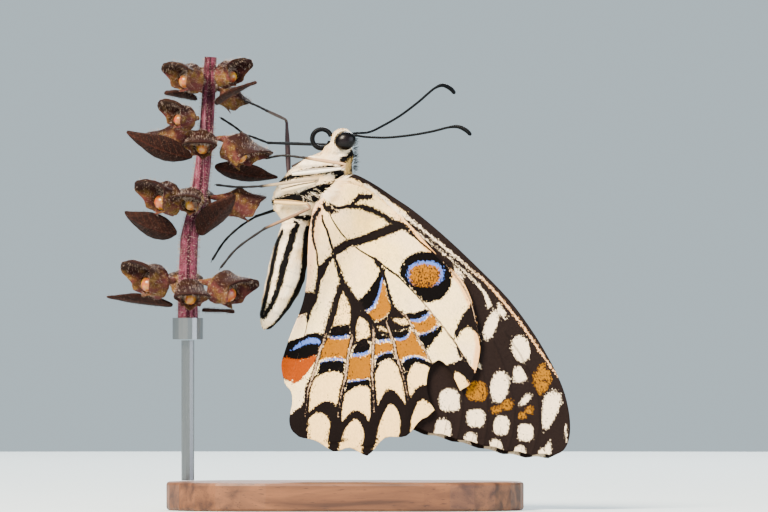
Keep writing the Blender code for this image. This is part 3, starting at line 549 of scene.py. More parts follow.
# %% Veins
# rib: (distance, full width)
HIND_VEINS = {
    "anal": ((1.2, 0.7), (2.8, 0.75), (4, 0.5), (7, 0.34), (9, 0.26), (10.5, 0.4), (12, 0.75), (15, 0.75),
             (16.5, 0.6), (17.5, 0.12), (20, 0.08)),
    "cubital_2": ((2, 0.3), (7, 0.38), (8.5, 0.6), (11.3, 0.9), (19.5, 0.9), (20.5, 0.65), (27, 0.5), (29.5, 0.9),
                  (32, 1.5), (36, 2.3)),
    "cubital_1": ((11, 0.4), (12, 0.8), (19, 0.9), (21, 0.65), (28, 0.5), (30.5, 1.0), (32, 1.7), (34, 2.7)),
    "median_3": ((11, 0.4), (12, 0.9), (18, 0.85), (20.5, 0.65), (27, 0.5), (30.5, 0.9), (33, 1.8), (35, 2.5)),
    "median_2": ((9.5, 0.15), (11, 0.6), (14, 0.4), (17, 0.65), (21, 0.6), (27, 0.45), (31, 0.6), (35, 1.0)),
    "median_1": ((17, 0.3), (20, 0.42), (24, 0.34), (28, 0.26), (32, 0.2)),
    "radial": ((2, 0.18), (10, 0.24), (11, 0.36), (14.5, 0.32), (16, 0.22), (24, 0.18), (27, 0.26), (32, 0.26)),
    "subcostal": ((0.6, 0.3), (2, 0.5), (4, 0.7), (6, 0.9), (10, 1.05), (12.5, 0.8), (14, 0.25), (30, 0.18)),
}
# distance: how much of a vein's width is pale
HIND_PALE = ((18.5, 0.0), (20.5, 0.62), (25.0, 0.62), (27.5, 0.26), (29.0, 0.12), (30.4, 0.055), (31.0, 0.0))
# Each line is given by points (x, z) from the root, then its full width.
FORE_LINES = (
    (((15.0, -36.0), (15.7, -32.5), (15.9, -29.0), (15.5, -25.5)), 0.3),
    (((18.7, -36.9), (19.3, -33.5), (19.2, -30.0), (18.6, -26.5), (17.9, -23.5)), 0.3),
    (((22.1, -37.7), (22.9, -34.5), (23.1, -31.5), (22.4, -28.5), (21.3, -25.0), (20.0, -22.0)), 0.3),
    (((25.4, -38.2), (26.5, -34.5), (26.3, -30.0), (25.2, -26.8), (23.6, -23.8), (21.5, -20.7)), 0.3),
    (((13.0, -35.9), (13.9, -31.0)), 0.14),
    (((16.9, -36.9), (17.6, -33.3)), 0.14),
    (((20.4, -37.7), (21.1, -34.2)), 0.14),
    (((23.8, -38.2), (24.4, -35.4)), 0.14),
)


def side_of(distance, bearing, rib, widths):
    """Half widths to the right of a vein, less than nothing to its left."""
    aside = np.radians(bearing_of(rib, distance) - bearing) * distance
    reach, across = zip(*widths)
    half = np.interp(distance, reach, across, left=0.002, right=0.002) / 2
    return np.clip(aside / half, -60, 60)


def vein_sides(points, root, veins):
    """The side of each of nine veins. A wing with fewer gets far-away ones."""
    distance, bearing = polar(points, root)
    sides = [side_of(distance, bearing, rib, widths) for rib, widths in veins]
    return np.stack(sides + [np.full(len(points), 60.0)] * (9 - len(sides)), axis=1)


def as_rib(line, width):
    """A line as a rib of distances and bearings, with its width."""
    spots = np.array(line[::-1])
    distance, bearing = np.hypot(*spots.T), np.degrees(np.arctan2(-spots[:, 1], spots[:, 0]))
    return tuple(zip(distance, bearing)), tuple((reach, width) for reach in distance)


hind_veins = [(dict(HIND_RIBS)[name], widths) for name, widths in HIND_VEINS.items()]
fore_veins = [as_rib(line, width) for line, width in FORE_LINES]

# %% [markdown]
# ## The wings' scales
# A butterfly's wing is a clear skin as thin as film, roofed with rows of flat scales about 0.1 by
# 0.2 mm. Each scale has one colour, which is why the edge of a mark is ragged, never blurred. The
# material reads the fields, moves each edge by a noise that is drawn out along the fan like the
# scales, and lays the paints one on another. A few strays of the wrong colour come from a second noise.

# %% Material of the wings
SCALE_LENGTH, SCALE_WIDTH = 0.2, 0.1  # of one scale, in mm
STRAY_JUMP = 0.055  # mm: how far the odd scale strays from its mark
BLUE_LOSS = 0.055  # mm taken off a blue rim all round, because it is only a few scales wide
WING_COLOURS = {
    "ground": "#ffdf9c", "brown": "#100a09", "cream": "#ffd389", "black": "#040202", "blue": "#4c68b8",
    "orange": "#8e5600", "red": "#863600",
}
FORE_COLOURS = {**WING_COLOURS, "brown": "#1a1210", "cream": "#f4dcb8", "orange": "#8c5a06"}


def wing_material(name, colours, fray_size, painted_shade):
    """The scales of a wing. The inner side, seen at a slant only, is a darker copy of the outer: painted shade of the
    narrow gap between the closed wings.
    """
    # chitin scales, matt, with the faintest satin
    made, tree, shader = new_material(name, Roughness=0.7, IOR=1.55, Specular_IOR_Level=0.04)
    fan = add(tree, "Attribute", attribute_name="scale_rows").outputs["Vector"]
    stretch = add(tree, "VectorMath", {0: fan, 1: (1 / SCALE_LENGTH, 1 / SCALE_WIDTH, 1)}, operation="MULTIPLY")
    # the real rows are too fine to show, so the fraying is drawn about twice as coarse
    fray = add(tree, "TexNoise", {"Vector": stretch, "Scale": 0.55, "Detail": 1.0})
    strays = add(tree, "TexVoronoi", {"Vector": stretch, "Scale": 1.0})
    stray = add(tree, "SeparateColor", {0: strays.outputs["Color"]})
    # most scales keep close to the edge of their mark, and a few stand far from it
    others = add(tree, "Math", {0: 1.001, 1: stray.outputs["Green"]}, operation="SUBTRACT")
    odds = add(tree, "Math", {0: stray.outputs["Green"], 1: others}, operation="DIVIDE")
    above_zero = add(tree, "Math", {0: odds, 1: 0.002}, operation="ADD")
    log_odds = add(tree, "Math", {0: above_zero, 1: math.e}, operation="LOGARITHM")
    jump = add(tree, "Math", {0: log_odds, 1: STRAY_JUMP}, operation="MULTIPLY")
    centred = add(tree, "Math", {0: fray.outputs["Fac"], 1: 0.5}, operation="SUBTRACT")
    swing = add(tree, "Math", {0: centred, 1: fray_size}, operation="MULTIPLY")
    shift = add(tree, "Math", {0: swing, 1: jump}, operation="ADD")
    # the ground is warmer and yellower at the root, with soft smudges
    place = add(tree, "TexCoord").outputs["Object"]
    smudge = add(tree, "TexNoise", {"Vector": place, "Scale": 520, "Detail": 5, "Roughness": 0.6})
    reach = add(tree, "SeparateXYZ", {0: fan}).outputs["Z"]
    warm = add(tree, "MapRange", {"Value": reach, "From Min": 15, "From Max": 5, "To Max": 1.9})
    warmth = add(tree, "Math", {0: warm, 1: smudge.outputs["Fac"]}, operation="MULTIPLY")
    ground = add(tree, "Mix", {0: warmth, 6: linear(colours["ground"]), 7: linear("#ffd070")},
                 data_type="RGBA").outputs[2]
    worn = add(tree, "MapRange", {"Value": smudge.outputs["Fac"], "From Min": 0.5, "From Max": 0.78, "To Max": 0.4})
    colour = add(tree, "Mix", {0: worn, 6: ground, 7: linear("#b89a7c")}, data_type="RGBA").outputs[2]
    broad = add(tree, "TexNoise", {"Vector": place, "Scale": 130, "Detail": 2})
    rosy = add(tree, "MapRange", {"Value": broad.outputs["Fac"], "From Min": 0.42, "From Max": 0.66, "To Max": 0.55})
    colour = add(tree, "Mix", {0: rosy, 6: colour, 7: linear("#f6d6b8")}, data_type="RGBA").outputs[2]
    tints = add(tree, "SeparateXYZ", {0: add(tree, "Attribute", attribute_name="tints").outputs["Vector"]})
    orange_tint = add(tree, "Math", {0: tints.outputs["X"], 1: 0.75}, operation="MULTIPLY")
    pink_tint = add(tree, "Math", {0: tints.outputs["Y"], 1: 0.6}, operation="MULTIPLY")
    colour = add(tree, "Mix", {0: orange_tint, 6: colour, 7: linear("#e8a055")}, data_type="RGBA").outputs[2]
    colour = add(tree, "Mix", {0: pink_tint, 6: colour, 7: linear("#d69c7c")}, data_type="RGBA").outputs[2]
    fields = {}
    for vector, names in (("marks_a", PAINTS[:3]), ("marks_b", PAINTS[3:])):
        parts = add(tree, "SeparateXYZ", {0: add(tree, "Attribute", attribute_name=vector).outputs["Vector"]})
        fields.update(zip(names, parts.outputs))
    for paint in PAINTS:
        edge = add(tree, "Math", {0: fields[paint], 1: shift}, operation="ADD")
        loss = BLUE_LOSS if paint == "blue" else 0.0
        inside = add(tree, "MapRange", {"Value": edge, "From Min": 0.035 - loss, "From Max": -0.035 - loss})
        layer = linear(colours[paint])
        if paint == "cream":
            layer = add(tree, "Mix", {0: orange_tint, 6: layer, 7: linear("#e09a52")}, data_type="RGBA").outputs[2]
        colour = add(tree, "Mix", {0: inside, 6: colour, 7: layer}, data_type="RGBA").outputs[2]
    # single dark scales are strewn over the cream beside each dark mark, most of them half way out
    off_cream = add(tree, "Math", {0: fields["cream"], 1: -1.0}, operation="MULTIPLY")
    beside = add(tree, "Math", {0: fields["brown"], 1: off_cream}, operation="MAXIMUM")
    strewn = add(tree, "MapRange", {"Value": beside, "From Min": 0.95, "From Max": 0.0, "To Max": 0.3})
    outer = add(tree, "MapRange", {"Value": reach, "From Min": 26, "From Max": 22, "To Min": 0.12})
    inner = add(tree, "MapRange", {"Value": reach, "From Min": 9, "From Max": 15, "To Min": 0.3})
    half_way = add(tree, "Math", {0: outer, 1: inner}, operation="MULTIPLY")
    dust = add(tree, "Math", {0: strewn, 1: half_way}, operation="MULTIPLY")
    painted = add(tree, "Math", {0: fields["blue"], 1: fields["orange"]}, operation="MINIMUM")
    off_paint = add(tree, "Math", {0: painted, 1: 0.0}, operation="GREATER_THAN")
    dark_scale = add(tree, "Math", {0: stray.outputs["Blue"], 1: dust}, operation="LESS_THAN")
    dusted = add(tree, "Math", {0: dark_scale, 1: off_paint}, operation="MULTIPLY")
    dusted = add(tree, "Math", {0: dusted, 1: 0.85}, operation="MULTIPLY")
    colour = add(tree, "Mix", {0: dusted, 6: colour, 7: linear("#140d0b")}, data_type="RGBA").outputs[2]
    # an orange patch is sprinkled with black scales, more so towards its rim
    sprinkle = add(tree, "MapRange", {"Value": fields["orange"], "From Min": -0.9, "From Max": 0.0,
                                      "To Min": 0.004, "To Max": 0.09})
    sprinkled = add(tree, "Math", {0: sprinkle, 1: tints.outputs["Z"]}, operation="ADD")
    black_scale = add(tree, "Math", {0: stray.outputs["Red"], 1: sprinkled}, operation="LESS_THAN")
    in_patch = add(tree, "MapRange", {"Value": fields["orange"], "From Min": 0.05, "From Max": -0.05})
    on_orange = add(tree, "Math", {0: black_scale, 1: in_patch}, operation="MULTIPLY")
    colour = add(tree, "Mix", {0: on_orange, 6: colour, 7: linear("#2a1a10")}, data_type="RGBA").outputs[2]
    # veins, dark and then pale
    nearest = None
    for vector in ("veins_a", "veins_b", "veins_c"):
        parts = add(tree, "SeparateXYZ", {0: add(tree, "Attribute", attribute_name=vector).outputs["Vector"]})
        for part in parts.outputs:
            size = add(tree, "Math", {0: part}, operation="ABSOLUTE")
            nearest = size if nearest is None else add(tree, "Math", {0: nearest, 1: size}, operation="MINIMUM")
    frayed = add(tree, "Math", {0: shift, 1: 2.2, 2: nearest}, operation="MULTIPLY_ADD")
    tone = add(tree, "Attribute", attribute_name="vein_tone")
    tone_parts = add(tree, "SeparateXYZ", {0: tone.outputs["Vector"]})
    line = add(tree, "MapRange", {"Value": frayed, "From Min": 1.18, "From Max": 0.82})
    dark = add(tree, "Math", {0: line, 1: tone_parts.outputs["X"]}, operation="MULTIPLY")
    colour = add(tree, "Mix", {0: dark, 6: colour, 7: linear("#100a09")}, data_type="RGBA").outputs[2]
    narrowed = add(tree, "Math", {0: frayed, 1: tone_parts.outputs["Y"]}, operation="SUBTRACT")
    core = add(tree, "MapRange", {"Value": narrowed, "From Min": -0.13, "From Max": -0.37})
    has_core = add(tree, "Math", {0: tone_parts.outputs["Y"], 1: 0.05}, operation="GREATER_THAN")
    pale = add(tree, "Math", {0: core, 1: has_core}, operation="MULTIPLY")
    colour = add(tree, "Mix", {0: pale, 6: colour, 7: linear("#b99878")}, data_type="RGBA").outputs[2]
    # single scales vary a little in brightness
    vary = add(tree, "MapRange", {"Value": stray.outputs["Green"], "To Min": 0.86, "To Max": 1.08})
    shaded = add(tree, "HueSaturation", {"Color": colour, "Value": vary})
    final = shaded.outputs[0]
    # the inner side is darkened towards dark brown: painted shade between the closed wings
    if painted_shade:
        final = add(tree, "Mix", {0: 0.3, 6: final, 7: linear("#1c120c")}, data_type="RGBA").outputs[2]
    tree.links.new(final, shader.inputs["Base Color"])
    # the scales overlap like tiles, and the skin under them puckers between the veins
    tiles = add(tree, "Math", {0: stray.outputs["Blue"], 1: 0.12}, operation="MULTIPLY")
    pucker = add(tree, "Math", {0: smudge.outputs["Fac"], 1: 0.5, 2: tiles}, operation="MULTIPLY_ADD")
    bump = add(tree, "Bump", {"Height": pucker, "Strength": 0.35, "Distance": 0.0003})
    tree.links.new(bump.outputs[0], shader.inputs["Normal"])
    return made


wing_outside = wing_material("hindwing_scales_outer_side", WING_COLOURS, 0.36, painted_shade=False)
wing_inside = wing_material("hindwing_scales_inner_side_shaded", WING_COLOURS, 0.36, painted_shade=True)
fore_outside = wing_material("forewing_scales_outer_side", FORE_COLOURS, 0.26, painted_shade=False)
fore_inside = wing_material("forewing_scales_inner_side_shaded", FORE_COLOURS, 0.26, painted_shade=True)

# %% [markdown]
# ## Four wings
# At rest a swallowtail closes its wings over its back. Each wing is hinged on its own side of the body,
# so near the body a pair stands apart, and it closes to a fraction of a millimetre beyond it. Every
# sheet is bent that way, then pleated a little: the skin sinks between veins, which keeps it stiff.

# %% Hang the wings
HINGE_TOP, HINGE_FOOT = Vector((0, 46.5)), Vector((-3.2, 41.3))
CLOSING_REACH = 8  # mm beyond the hinge line
WINGS = {
    # name: (sheet, root, side, spread at the hinge, closed, slip, turn in degrees)
    "forewing_left": ("fore", FORE_ROOT, -1, 2.85, 0.45, (0, 0), 0),
    "forewing_right": ("fore", FORE_ROOT, 1, 2.85, 0.45, (-0.45, -0.12), 0.6),
    "hindwing_left": ("torn", HIND_ROOT, -1, 3.65, 1.25, (0, 0), 0),
    "hindwing_right": ("hind", HIND_ROOT, 1, 3.65, 1.25, (0, 0), 0),
}
SHEET_THICKNESS = 0.14


def spread_of(points, hinge, closed):
    """How far from the middle plane each (x, z) of a wing stands."""
    down = (HINGE_FOOT - HINGE_TOP).normalized()
    beyond = -(points[:, 0] - HINGE_TOP.x) * down.y + (points[:, 1] - HINGE_TOP.y) * down.x
    share = np.clip(beyond / CLOSING_REACH, 0, 1)
    return closed + (hinge - closed) * (1 - share**2 * (3 - 2 * share))


def pleats(sides):
    """A low relief: veins stand up, and the skin sinks between them."""
    return 0.1 * np.exp(-((np.abs(sides).min(axis=1) / 3) ** 2))


def make_wing(name):
    sheet, root, side, hinge, closed, slip, turn = WINGS[name]
    bm = sheets[sheet].copy()
    flat = np.array([(vert.co.x + root[0], vert.co.z + root[1]) for vert in bm.verts])
    kind = fore_fields if sheet == "fore" else hind_fields
    fields = kind(flat)
    sides = vein_sides(flat, root, fore_veins if sheet == "fore" else hind_veins)
    distance, bearing = polar(flat, root)
    swing = Matrix.Rotation(math.radians(-turn), 2)
    placed = [swing @ Vector(spot - root) + Vector(root) + Vector(slip) for spot in flat]
    depth = spread_of(np.array(placed), hinge, closed) + pleats(sides)
    for vert, spot, apart in zip(bm.verts, placed, depth):
        vert.co = MM * Vector((spot.x, side * apart, spot.y))
    if side > 0:
        bmesh.ops.reverse_faces(bm, faces=bm.faces)
    bm.normal_update()
    if sum(face.normal.y * face.calc_area() for face in bm.faces) * side < 0:
        bmesh.ops.reverse_faces(bm, faces=bm.faces)
    faces_of = (fore_outside, fore_inside) if sheet == "fore" else (wing_outside, wing_inside)
    wing = finish_piece(name + "_scaled", bm, faces_of, (name,))
    mesh = wing.data
    store(mesh, "marks_a", np.stack([fields[p] for p in PAINTS[:3]], 1), "FLOAT_VECTOR")
    store(mesh, "marks_b", np.stack([fields[p] for p in PAINTS[3:]], 1), "FLOAT_VECTOR")
    store(mesh, "tints", fore_tints(flat) if sheet == "fore" else hind_tints(flat), "FLOAT_VECTOR")
    for place, key in enumerate(("veins_a", "veins_b", "veins_c")):
        store(mesh, key, sides[:, 3 * place : 3 * place + 3], "FLOAT_VECTOR")
    lie = math.radians(50 if sheet == "fore" else 75)
    along = flat[:, 0] * math.cos(lie) - flat[:, 1] * math.sin(lie)
    across = flat[:, 0] * math.sin(lie) + flat[:, 1] * math.cos(lie)
    store(mesh, "scale_rows", np.stack([along, across, distance], 1), "FLOAT_VECTOR")
    dark, pale = np.ones(len(flat)), np.interp(distance, *zip(*HIND_PALE))
    if sheet == "fore":
        dark, pale = np.full(len(flat), 0.5), np.zeros(len(flat))
    store(mesh, "vein_tone", np.stack([dark, pale, 0 * dark], 1), "FLOAT_VECTOR")
    thickness = wing.modifiers.new("Thickness", "SOLIDIFY")
    thickness.thickness = SHEET_THICKNESS * MM
    thickness.offset = 0
    thickness.material_offset = 1
    return wing


wings = {name: make_wing(name) for name in WINGS}
print("wings:", {name: len(wing.data.vertices) for name, wing in wings.items()})

# %% [markdown]
# ## One skin for the body
# Head, neck, thorax and abdomen are separate solids, as a maker would mould them, but the animal has
# one skin. Copies of the solids are swelled until they touch, rebuilt as one closed surface, smoothed,
# and drawn in by the depth of the coat, so that the scales on top end where the solids do.

# %% Body skin
TRUNK = ("head", "prothorax", "thorax", "abdomen")
SWELL, COAT_DEPTH = 0.16, 0.2  # mm
SKIN_CELL = 0.16


def solid_copy(names):
    """One bmesh of copies of the solids, in place."""
    bm = bmesh.new()
    for name in names:
        source = bpy.data.objects[name]
        copy = source.data.copy()
        copy.transform(source.matrix_world)
        bm.from_mesh(copy)
        bpy.data.meshes.remove(copy)
    bmesh.ops.remove_doubles(bm, verts=bm.verts, dist=1e-6)
    bmesh.ops.recalc_face_normals(bm, faces=bm.faces)
    return bm


def moved_out(bm, distance):
    """Every vertex moved along its normal by a distance in mm."""
    bm.normal_update()
    shifts = [(vert, vert.normal * distance * MM) for vert in bm.verts]
    for vert, shift in shifts:
        vert.co += shift


def one_surface(bm, cell, rounds):
    """The bmesh rebuilt as one closed surface of even cells, and smoothed."""
    mesh = bpy.data.meshes.new("draft")
    bm.to_mesh(mesh)
    bm.free()
    draft = bpy.data.objects.new("draft", mesh)
    bpy.context.scene.collection.objects.link(draft)
    rebuild = draft.modifiers.new("Rebuild", "REMESH")
    rebuild.mode = "VOXEL"
    rebuild.voxel_size = cell * MM
    bpy.context.view_layer.update()
    made = bpy.data.meshes.new_from_object(draft.evaluated_get(bpy.context.evaluated_depsgraph_get()))
    bpy.data.objects.remove(draft)
    bpy.data.meshes.remove(mesh)
    whole = bmesh.new()
    whole.from_mesh(made)
    bpy.data.meshes.remove(made)
    for _ in range(rounds):
        bmesh.ops.smooth_vert(whole, verts=whole.verts, factor=0.5, use_axis_x=True, use_axis_y=True, use_axis_z=True)
    return whole


trunk = solid_copy(TRUNK)
# the throat, a soft pad between face and chest
throat = bmesh.ops.create_icosphere(trunk, subdivisions=3, radius=MM)["verts"]
for vert in throat:
    vert.co = Vector((vert.co.x * 1.5 - 1.75 * MM, vert.co.y * 1.45, vert.co.z * 1.15 + 50.3 * MM))
# the nape, a ruff of scales between the head and the back
nape = bmesh.ops.create_icosphere(trunk, subdivisions=3, radius=MM)["verts"]
for vert in nape:
    vert.co = Vector((vert.co.x * 0.85 + 0.5 * MM, vert.co.y, vert.co.z * 1.35 + 49.7 * MM))
moved_out(trunk, SWELL)
trunk = one_surface(trunk, SKIN_CELL, 7)
moved_out(trunk, -(SWELL + COAT_DEPTH))
bmesh.ops.recalc_face_normals(trunk, faces=trunk.faces)
print("skin faces:", len(trunk.faces))

# %% [markdown]
# ## Stripes of the body
# Cream scales cover the body, and bands of black ones run over it: three across the thorax, short ones
# on and behind the head and at the waist, and three along the abdomen. They're the same on both sides,
# so a band is a path in side view with a width at each point. A skin point's distance from the nearest
# band is stored, as on the wings.

# %% Body marks
# ((x, z, width), ...)
BLACK_BANDS = (
    ((-9.0, 46.1, 0.25), (-7.7, 46.55, 0.55), (-6.3, 47.0, 0.75), (-4.9, 47.4, 0.85), (-2.8, 47.65, 0.9),
     (-1.3, 47.75, 0.95), (-0.4, 47.2, 1.1), (0.0, 46.3, 0.9)),
    ((-10.3, 43.15, 0.35), (-8.6, 43.55, 0.75), (-6.9, 43.8, 1.1), (-5.2, 43.85, 1.1), (-3.6, 43.75, 0.8)),
    ((-6.6, 43.7, 0.5), (-5.6, 44.1, 0.9), (-4.6, 44.5, 1.1), (-3.5, 44.8, 1.2), (-2.1, 45.3, 1.05),
     (-1.1, 45.6, 0.8), (-0.75, 46.1, 0.5), (-0.75, 46.9, 0.35)),
    ((1.2, 50.5, 0.3), (0.55, 49.6, 0.6), (0.15, 49.0, 0.7), (-0.2, 48.5, 0.6)),
    ((1.7, 51.4, 0.3), (1.5, 50.4, 0.4), (1.25, 49.0, 0.4), (1.1, 47.6, 0.4), (1.3, 46.5, 0.4)),
    ((1.1, 53.0, 0.3), (1.6, 52.4, 0.35)),
    ((-6.5, 41.1, 0.35), (-5.3, 41.0, 0.55), (-4.2, 41.2, 0.5), (-4.0, 40.2, 0.6)),
    ((-8.6, 39.3, 0.3), (-9.3, 37.8, 0.45), (-9.75, 35.7, 0.5), (-10.2, 33.6, 0.5), (-10.65, 31.5, 0.48),
     (-11.1, 29.4, 0.46), (-11.6, 27.4, 0.42)),
    ((-6.4, 40.3, 0.45), (-7.1, 39.2, 0.8), (-7.45, 37.8, 0.82), (-8.0, 36.1, 0.78), (-8.5, 34.4, 0.86),
     (-9.0, 32.2, 0.8), (-9.5, 30.5, 0.64), (-10.2, 29.0, 0.6), (-11.3, 27.2, 0.5)),
    ((-5.3, 39.8, 0.45), (-5.5, 37.8, 0.65), (-5.6, 35.7, 0.7), (-5.7, 33.6, 0.76), (-6.2, 31.9, 0.66),
     (-6.9, 30.5, 0.56), (-7.8, 28.7, 0.58), (-9.0, 26.9, 0.62), (-9.8, 26.0, 0.55), (-10.9, 25.4, 0.4)),
)
YELLOW_BANDS = (((1.3, 50.2, 0.4), (0.7, 48.8, 0.5), (0.55, 47.6, 0.5), (0.7, 46.2, 0.45)),)


def band_distance(x, z, band):
    """Millimetres from the edge of a band, below zero inside it."""
    nearest = np.full(len(x), FAR)
    for (ax, az, a_width), (bx, bz, b_width) in zip(band, band[1:]):
        along = np.clip(((x - ax) * (bx - ax) + (z - az) * (bz - az)) / ((bx - ax) ** 2 + (bz - az) ** 2), 0, 1)
        away = np.hypot(x - ax - along * (bx - ax), z - az - along * (bz - az))
        nearest = np.minimum(nearest, away - (a_width + along * (b_width - a_width)) / 2)
    return nearest - 0.1


def body_fields(points):
    """For each point: distance to black, distance to yellow, and how far along the abdomen it lies."""
    x, z = points[:, 0], points[:, 2]
    black = np.min([band_distance(x, z, band) for band in BLACK_BANDS], axis=0)
    yellow = np.min([band_distance(x, z, band) for band in YELLOW_BANDS], axis=0)
    along = (x + 5.5) * -0.316 + (z - 40.5) * -0.949
    return np.stack([black, yellow, along], axis=1)


# %% [markdown]
# ## Material of the body
# The scales of the body are hair-like and silky, cream to white. Thin dark creases cross the abdomen
# every 2 mm, where its rings slide into each other.

# %% Body scales
RING_PITCH = 2.05  # mm between two creases of the abdomen


def body_material():
    # hair-like chitin scales with a soft sheen
    made, tree, shader = new_material("body_scales_silky", Roughness=0.75, IOR=1.55, Specular_IOR_Level=0.05,
                                      Sheen_Weight=0.04, Sheen_Roughness=0.5)
    place = add(tree, "TexCoord").outputs["Object"]
    fine = add(tree, "TexNoise", {"Vector": place, "Scale": 5200, "Detail": 2})
    broad = add(tree, "TexNoise", {"Vector": place, "Scale": 420, "Detail": 3})
    parts = add(tree, "SeparateXYZ", {0: add(tree, "Attribute", attribute_name="body_marks").outputs["Vector"]})
    centred = add(tree, "Math", {0: fine.outputs["Fac"], 1: 0.5}, operation="SUBTRACT")
    fray = add(tree, "Math", {0: centred, 1: 0.55}, operation="MULTIPLY")
    warm = add(tree, "MapRange", {"Value": broad.outputs["Fac"], "From Min": 0.42, "From Max": 0.72})
    colour = add(tree, "Mix", {0: warm, 6: linear("#ffeccc"), 7: linear("#f4cf94")}, data_type="RGBA").outputs[2]
    rings = add(tree, "Math", {0: parts.outputs["Z"], 1: RING_PITCH}, operation="DIVIDE")
    ring = add(tree, "Math", {0: rings}, operation="FRACT")
    past_middle = add(tree, "Math", {0: ring, 1: 0.5}, operation="SUBTRACT")
    off_middle = add(tree, "Math", {0: past_middle}, operation="ABSOLUTE")
    crease = add(tree, "MapRange", {"Value": off_middle, "From Min": 0.035, "From Max": 0.015})
    on_abdomen = add(tree, "MapRange", {"Value": parts.outputs["Z"], "From Min": 0.8, "From Max": 1.2})
    creased = add(tree, "Math", {0: crease, 1: on_abdomen}, operation="MULTIPLY")
    faint = add(tree, "Math", {0: creased, 1: 0.4}, operation="MULTIPLY")
    colour = add(tree, "Mix", {0: faint, 6: colour, 7: linear("#6a5646")}, data_type="RGBA").outputs[2]
    to_yellow = add(tree, "Math", {0: parts.outputs["Y"], 1: fray}, operation="ADD")
    yellow = add(tree, "MapRange", {"Value": to_yellow, "From Min": 0.08, "From Max": -0.08})
    colour = add(tree, "Mix", {0: yellow, 6: colour, 7: linear("#c9a662")}, data_type="RGBA").outputs[2]
    to_black = add(tree, "Math", {0: parts.outputs["X"], 1: fray}, operation="ADD")
    black = add(tree, "MapRange", {"Value": to_black, "From Min": 0.05, "From Max": -0.05})
    colour = add(tree, "Mix", {0: black, 6: colour, 7: linear("#050303")}, data_type="RGBA").outputs[2]
    vary = add(tree, "Attribute", attribute_name="scale_tone")
    bright = add(tree, "MapRange", {"Value": vary.outputs["Fac"], "To Min": 0.84, "To Max": 1.06})
    shaded = add(tree, "HueSaturation", {"Color": colour, "Value": bright})
    tree.links.new(shaded.outputs[0], shader.inputs["Base Color"])
    bump = add(tree, "Bump", {"Height": fine.outputs["Fac"], "Strength": 0.5, "Distance": 0.00012})
    tree.links.new(bump.outputs[0], shader.inputs["Normal"])
    return made


body_scales = body_material()
skin = finish_piece("body_skin", trunk, (body_scales,), TRUNK, smooth_angle=180)
store(skin.data, "body_marks", body_fields(places(skin.data)), "FLOAT_VECTOR")
store(skin.data, "scale_tone", np.full(len(skin.data.vertices), 0.5))

# %% [markdown]
# ## The body's coat
# Each scale is a thin pointed leaf, rooted in the skin and lying back towards the tail. They are
# scattered over the skin by area, a little shorter on the face. Their roots keep a place on an unwrap of
# the body: the angle round it and the height along it, so that each leaf's colour can be found later.

# %% Coat
BODY_AXIS = ((25.5, -10.5), (33, -8.0), (40, -5.8), (45, -3.5), (49, -1.5), (52, -0.3))  # (z, x)
PATCH = 0.0015  # half of a leaf's patch on the unwrap


def scatter(mesh, count, seed):
    """Points spread over a mesh by area, in mm, with the normal of the face each is on."""
    rng = np.random.default_rng(seed)
    mesh.calc_loop_triangles()
    triangles = np.empty(len(mesh.loop_triangles) * 3, np.int32)
    mesh.loop_triangles.foreach_get("vertices", triangles)
    corners = places(mesh)[triangles.reshape(-1, 3)]
    cross = np.cross(corners[:, 1] - corners[:, 0], corners[:, 2] - corners[:, 0])
    area = np.linalg.norm(cross, axis=1)
    picked = rng.choice(len(area), count, p=area / area.sum())
    a, b = rng.random(count), rng.random(count)
    a, b = np.where(a + b > 1, 1 - a, a), np.where(a + b > 1, 1 - b, b)
    spots = corners[picked, 0] + a[:, None] * (corners[picked, 1] - corners[picked, 0])
    spots += b[:, None] * (corners[picked, 2] - corners[picked, 0])
    return spots, cross[picked] / area[picked, None]


def body_unwrap(points):
    """A place on the body's unwrap for each point: round it and along it, each from 0 to 1."""
    axis = np.interp(points[:, 2], *zip(*BODY_AXIS))
    around = np.arctan2(points[:, 1], points[:, 0] - axis) / (2 * math.pi) + 0.5
    return np.stack([around, (points[:, 2] - 24) / 31], axis=1)


def leaves(name, roots, normals, lie, lengths, widths, lift, unwrap, material, fields, seed):
    """Thin pointed leaves as one mesh. Each has a base, a wider middle and a tip."""
    rng = np.random.default_rng(seed)
    lie = lie - (lie * normals).sum(1)[:, None] * normals
    lie += rng.normal(0, 0.18, lie.shape)
    lie -= (lie * normals).sum(1)[:, None] * normals
    lie /= np.linalg.norm(lie, axis=1)[:, None]
    side = np.cross(normals, lie) * widths[:, None] / 2
    out = lie * lengths[:, None]
    raise_up = normals * (lengths * lift)[:, None]
    rows = [roots - side * 0.6, roots + side * 0.6,
            roots + out * 0.5 + raise_up * 0.8 - side, roots + out * 0.5 + raise_up * 0.8 + side,
            roots + out + raise_up]
    verts = np.stack(rows, axis=1).reshape(-1, 3) * MM
    first = np.arange(len(roots)) * 5
    faces = [face for f in first.tolist() for face in ((f, f + 1, f + 3, f + 2), (f + 2, f + 3, f + 4))]
    mesh = bpy.data.meshes.new(name)
    mesh.from_pydata(verts.tolist(), [], faces)
    mesh.shade_smooth()
    piece = bpy.data.objects.new(name, mesh)
    bpy.context.scene.collection.objects.link(piece)
    mesh.materials.append(material)
    for key, values in fields.items():
        values = np.asarray(values)
        store(mesh, key, np.repeat(values, 5, axis=0), "FLOAT_VECTOR" if values.ndim == 2 else "FLOAT")
    corners = np.array([(-1, -1), (1, -1), (1, 0), (-1, 0), (-1, 0), (1, 0), (0, 1)]) * PATCH
    layer = mesh.uv_layers.new(name="OFBake")
    layer.data.foreach_set("uv", (unwrap[:, None, :] + corners[None]).astype(np.float32).ravel())
    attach(piece, "root")
    return piece


def body_lie(points):
    """The way the coat lies: back over the head, across the thorax to the chest, down the abdomen."""
    lie = np.tile((-0.95, 0.0, -0.3), (len(points), 1))
    lie[points[:, 2] < 40.3] = (-0.3, 0.0, -0.95)
    lie[points[:, 2] > 49.5] = (-0.2, 0.0, -0.95)
    return lie


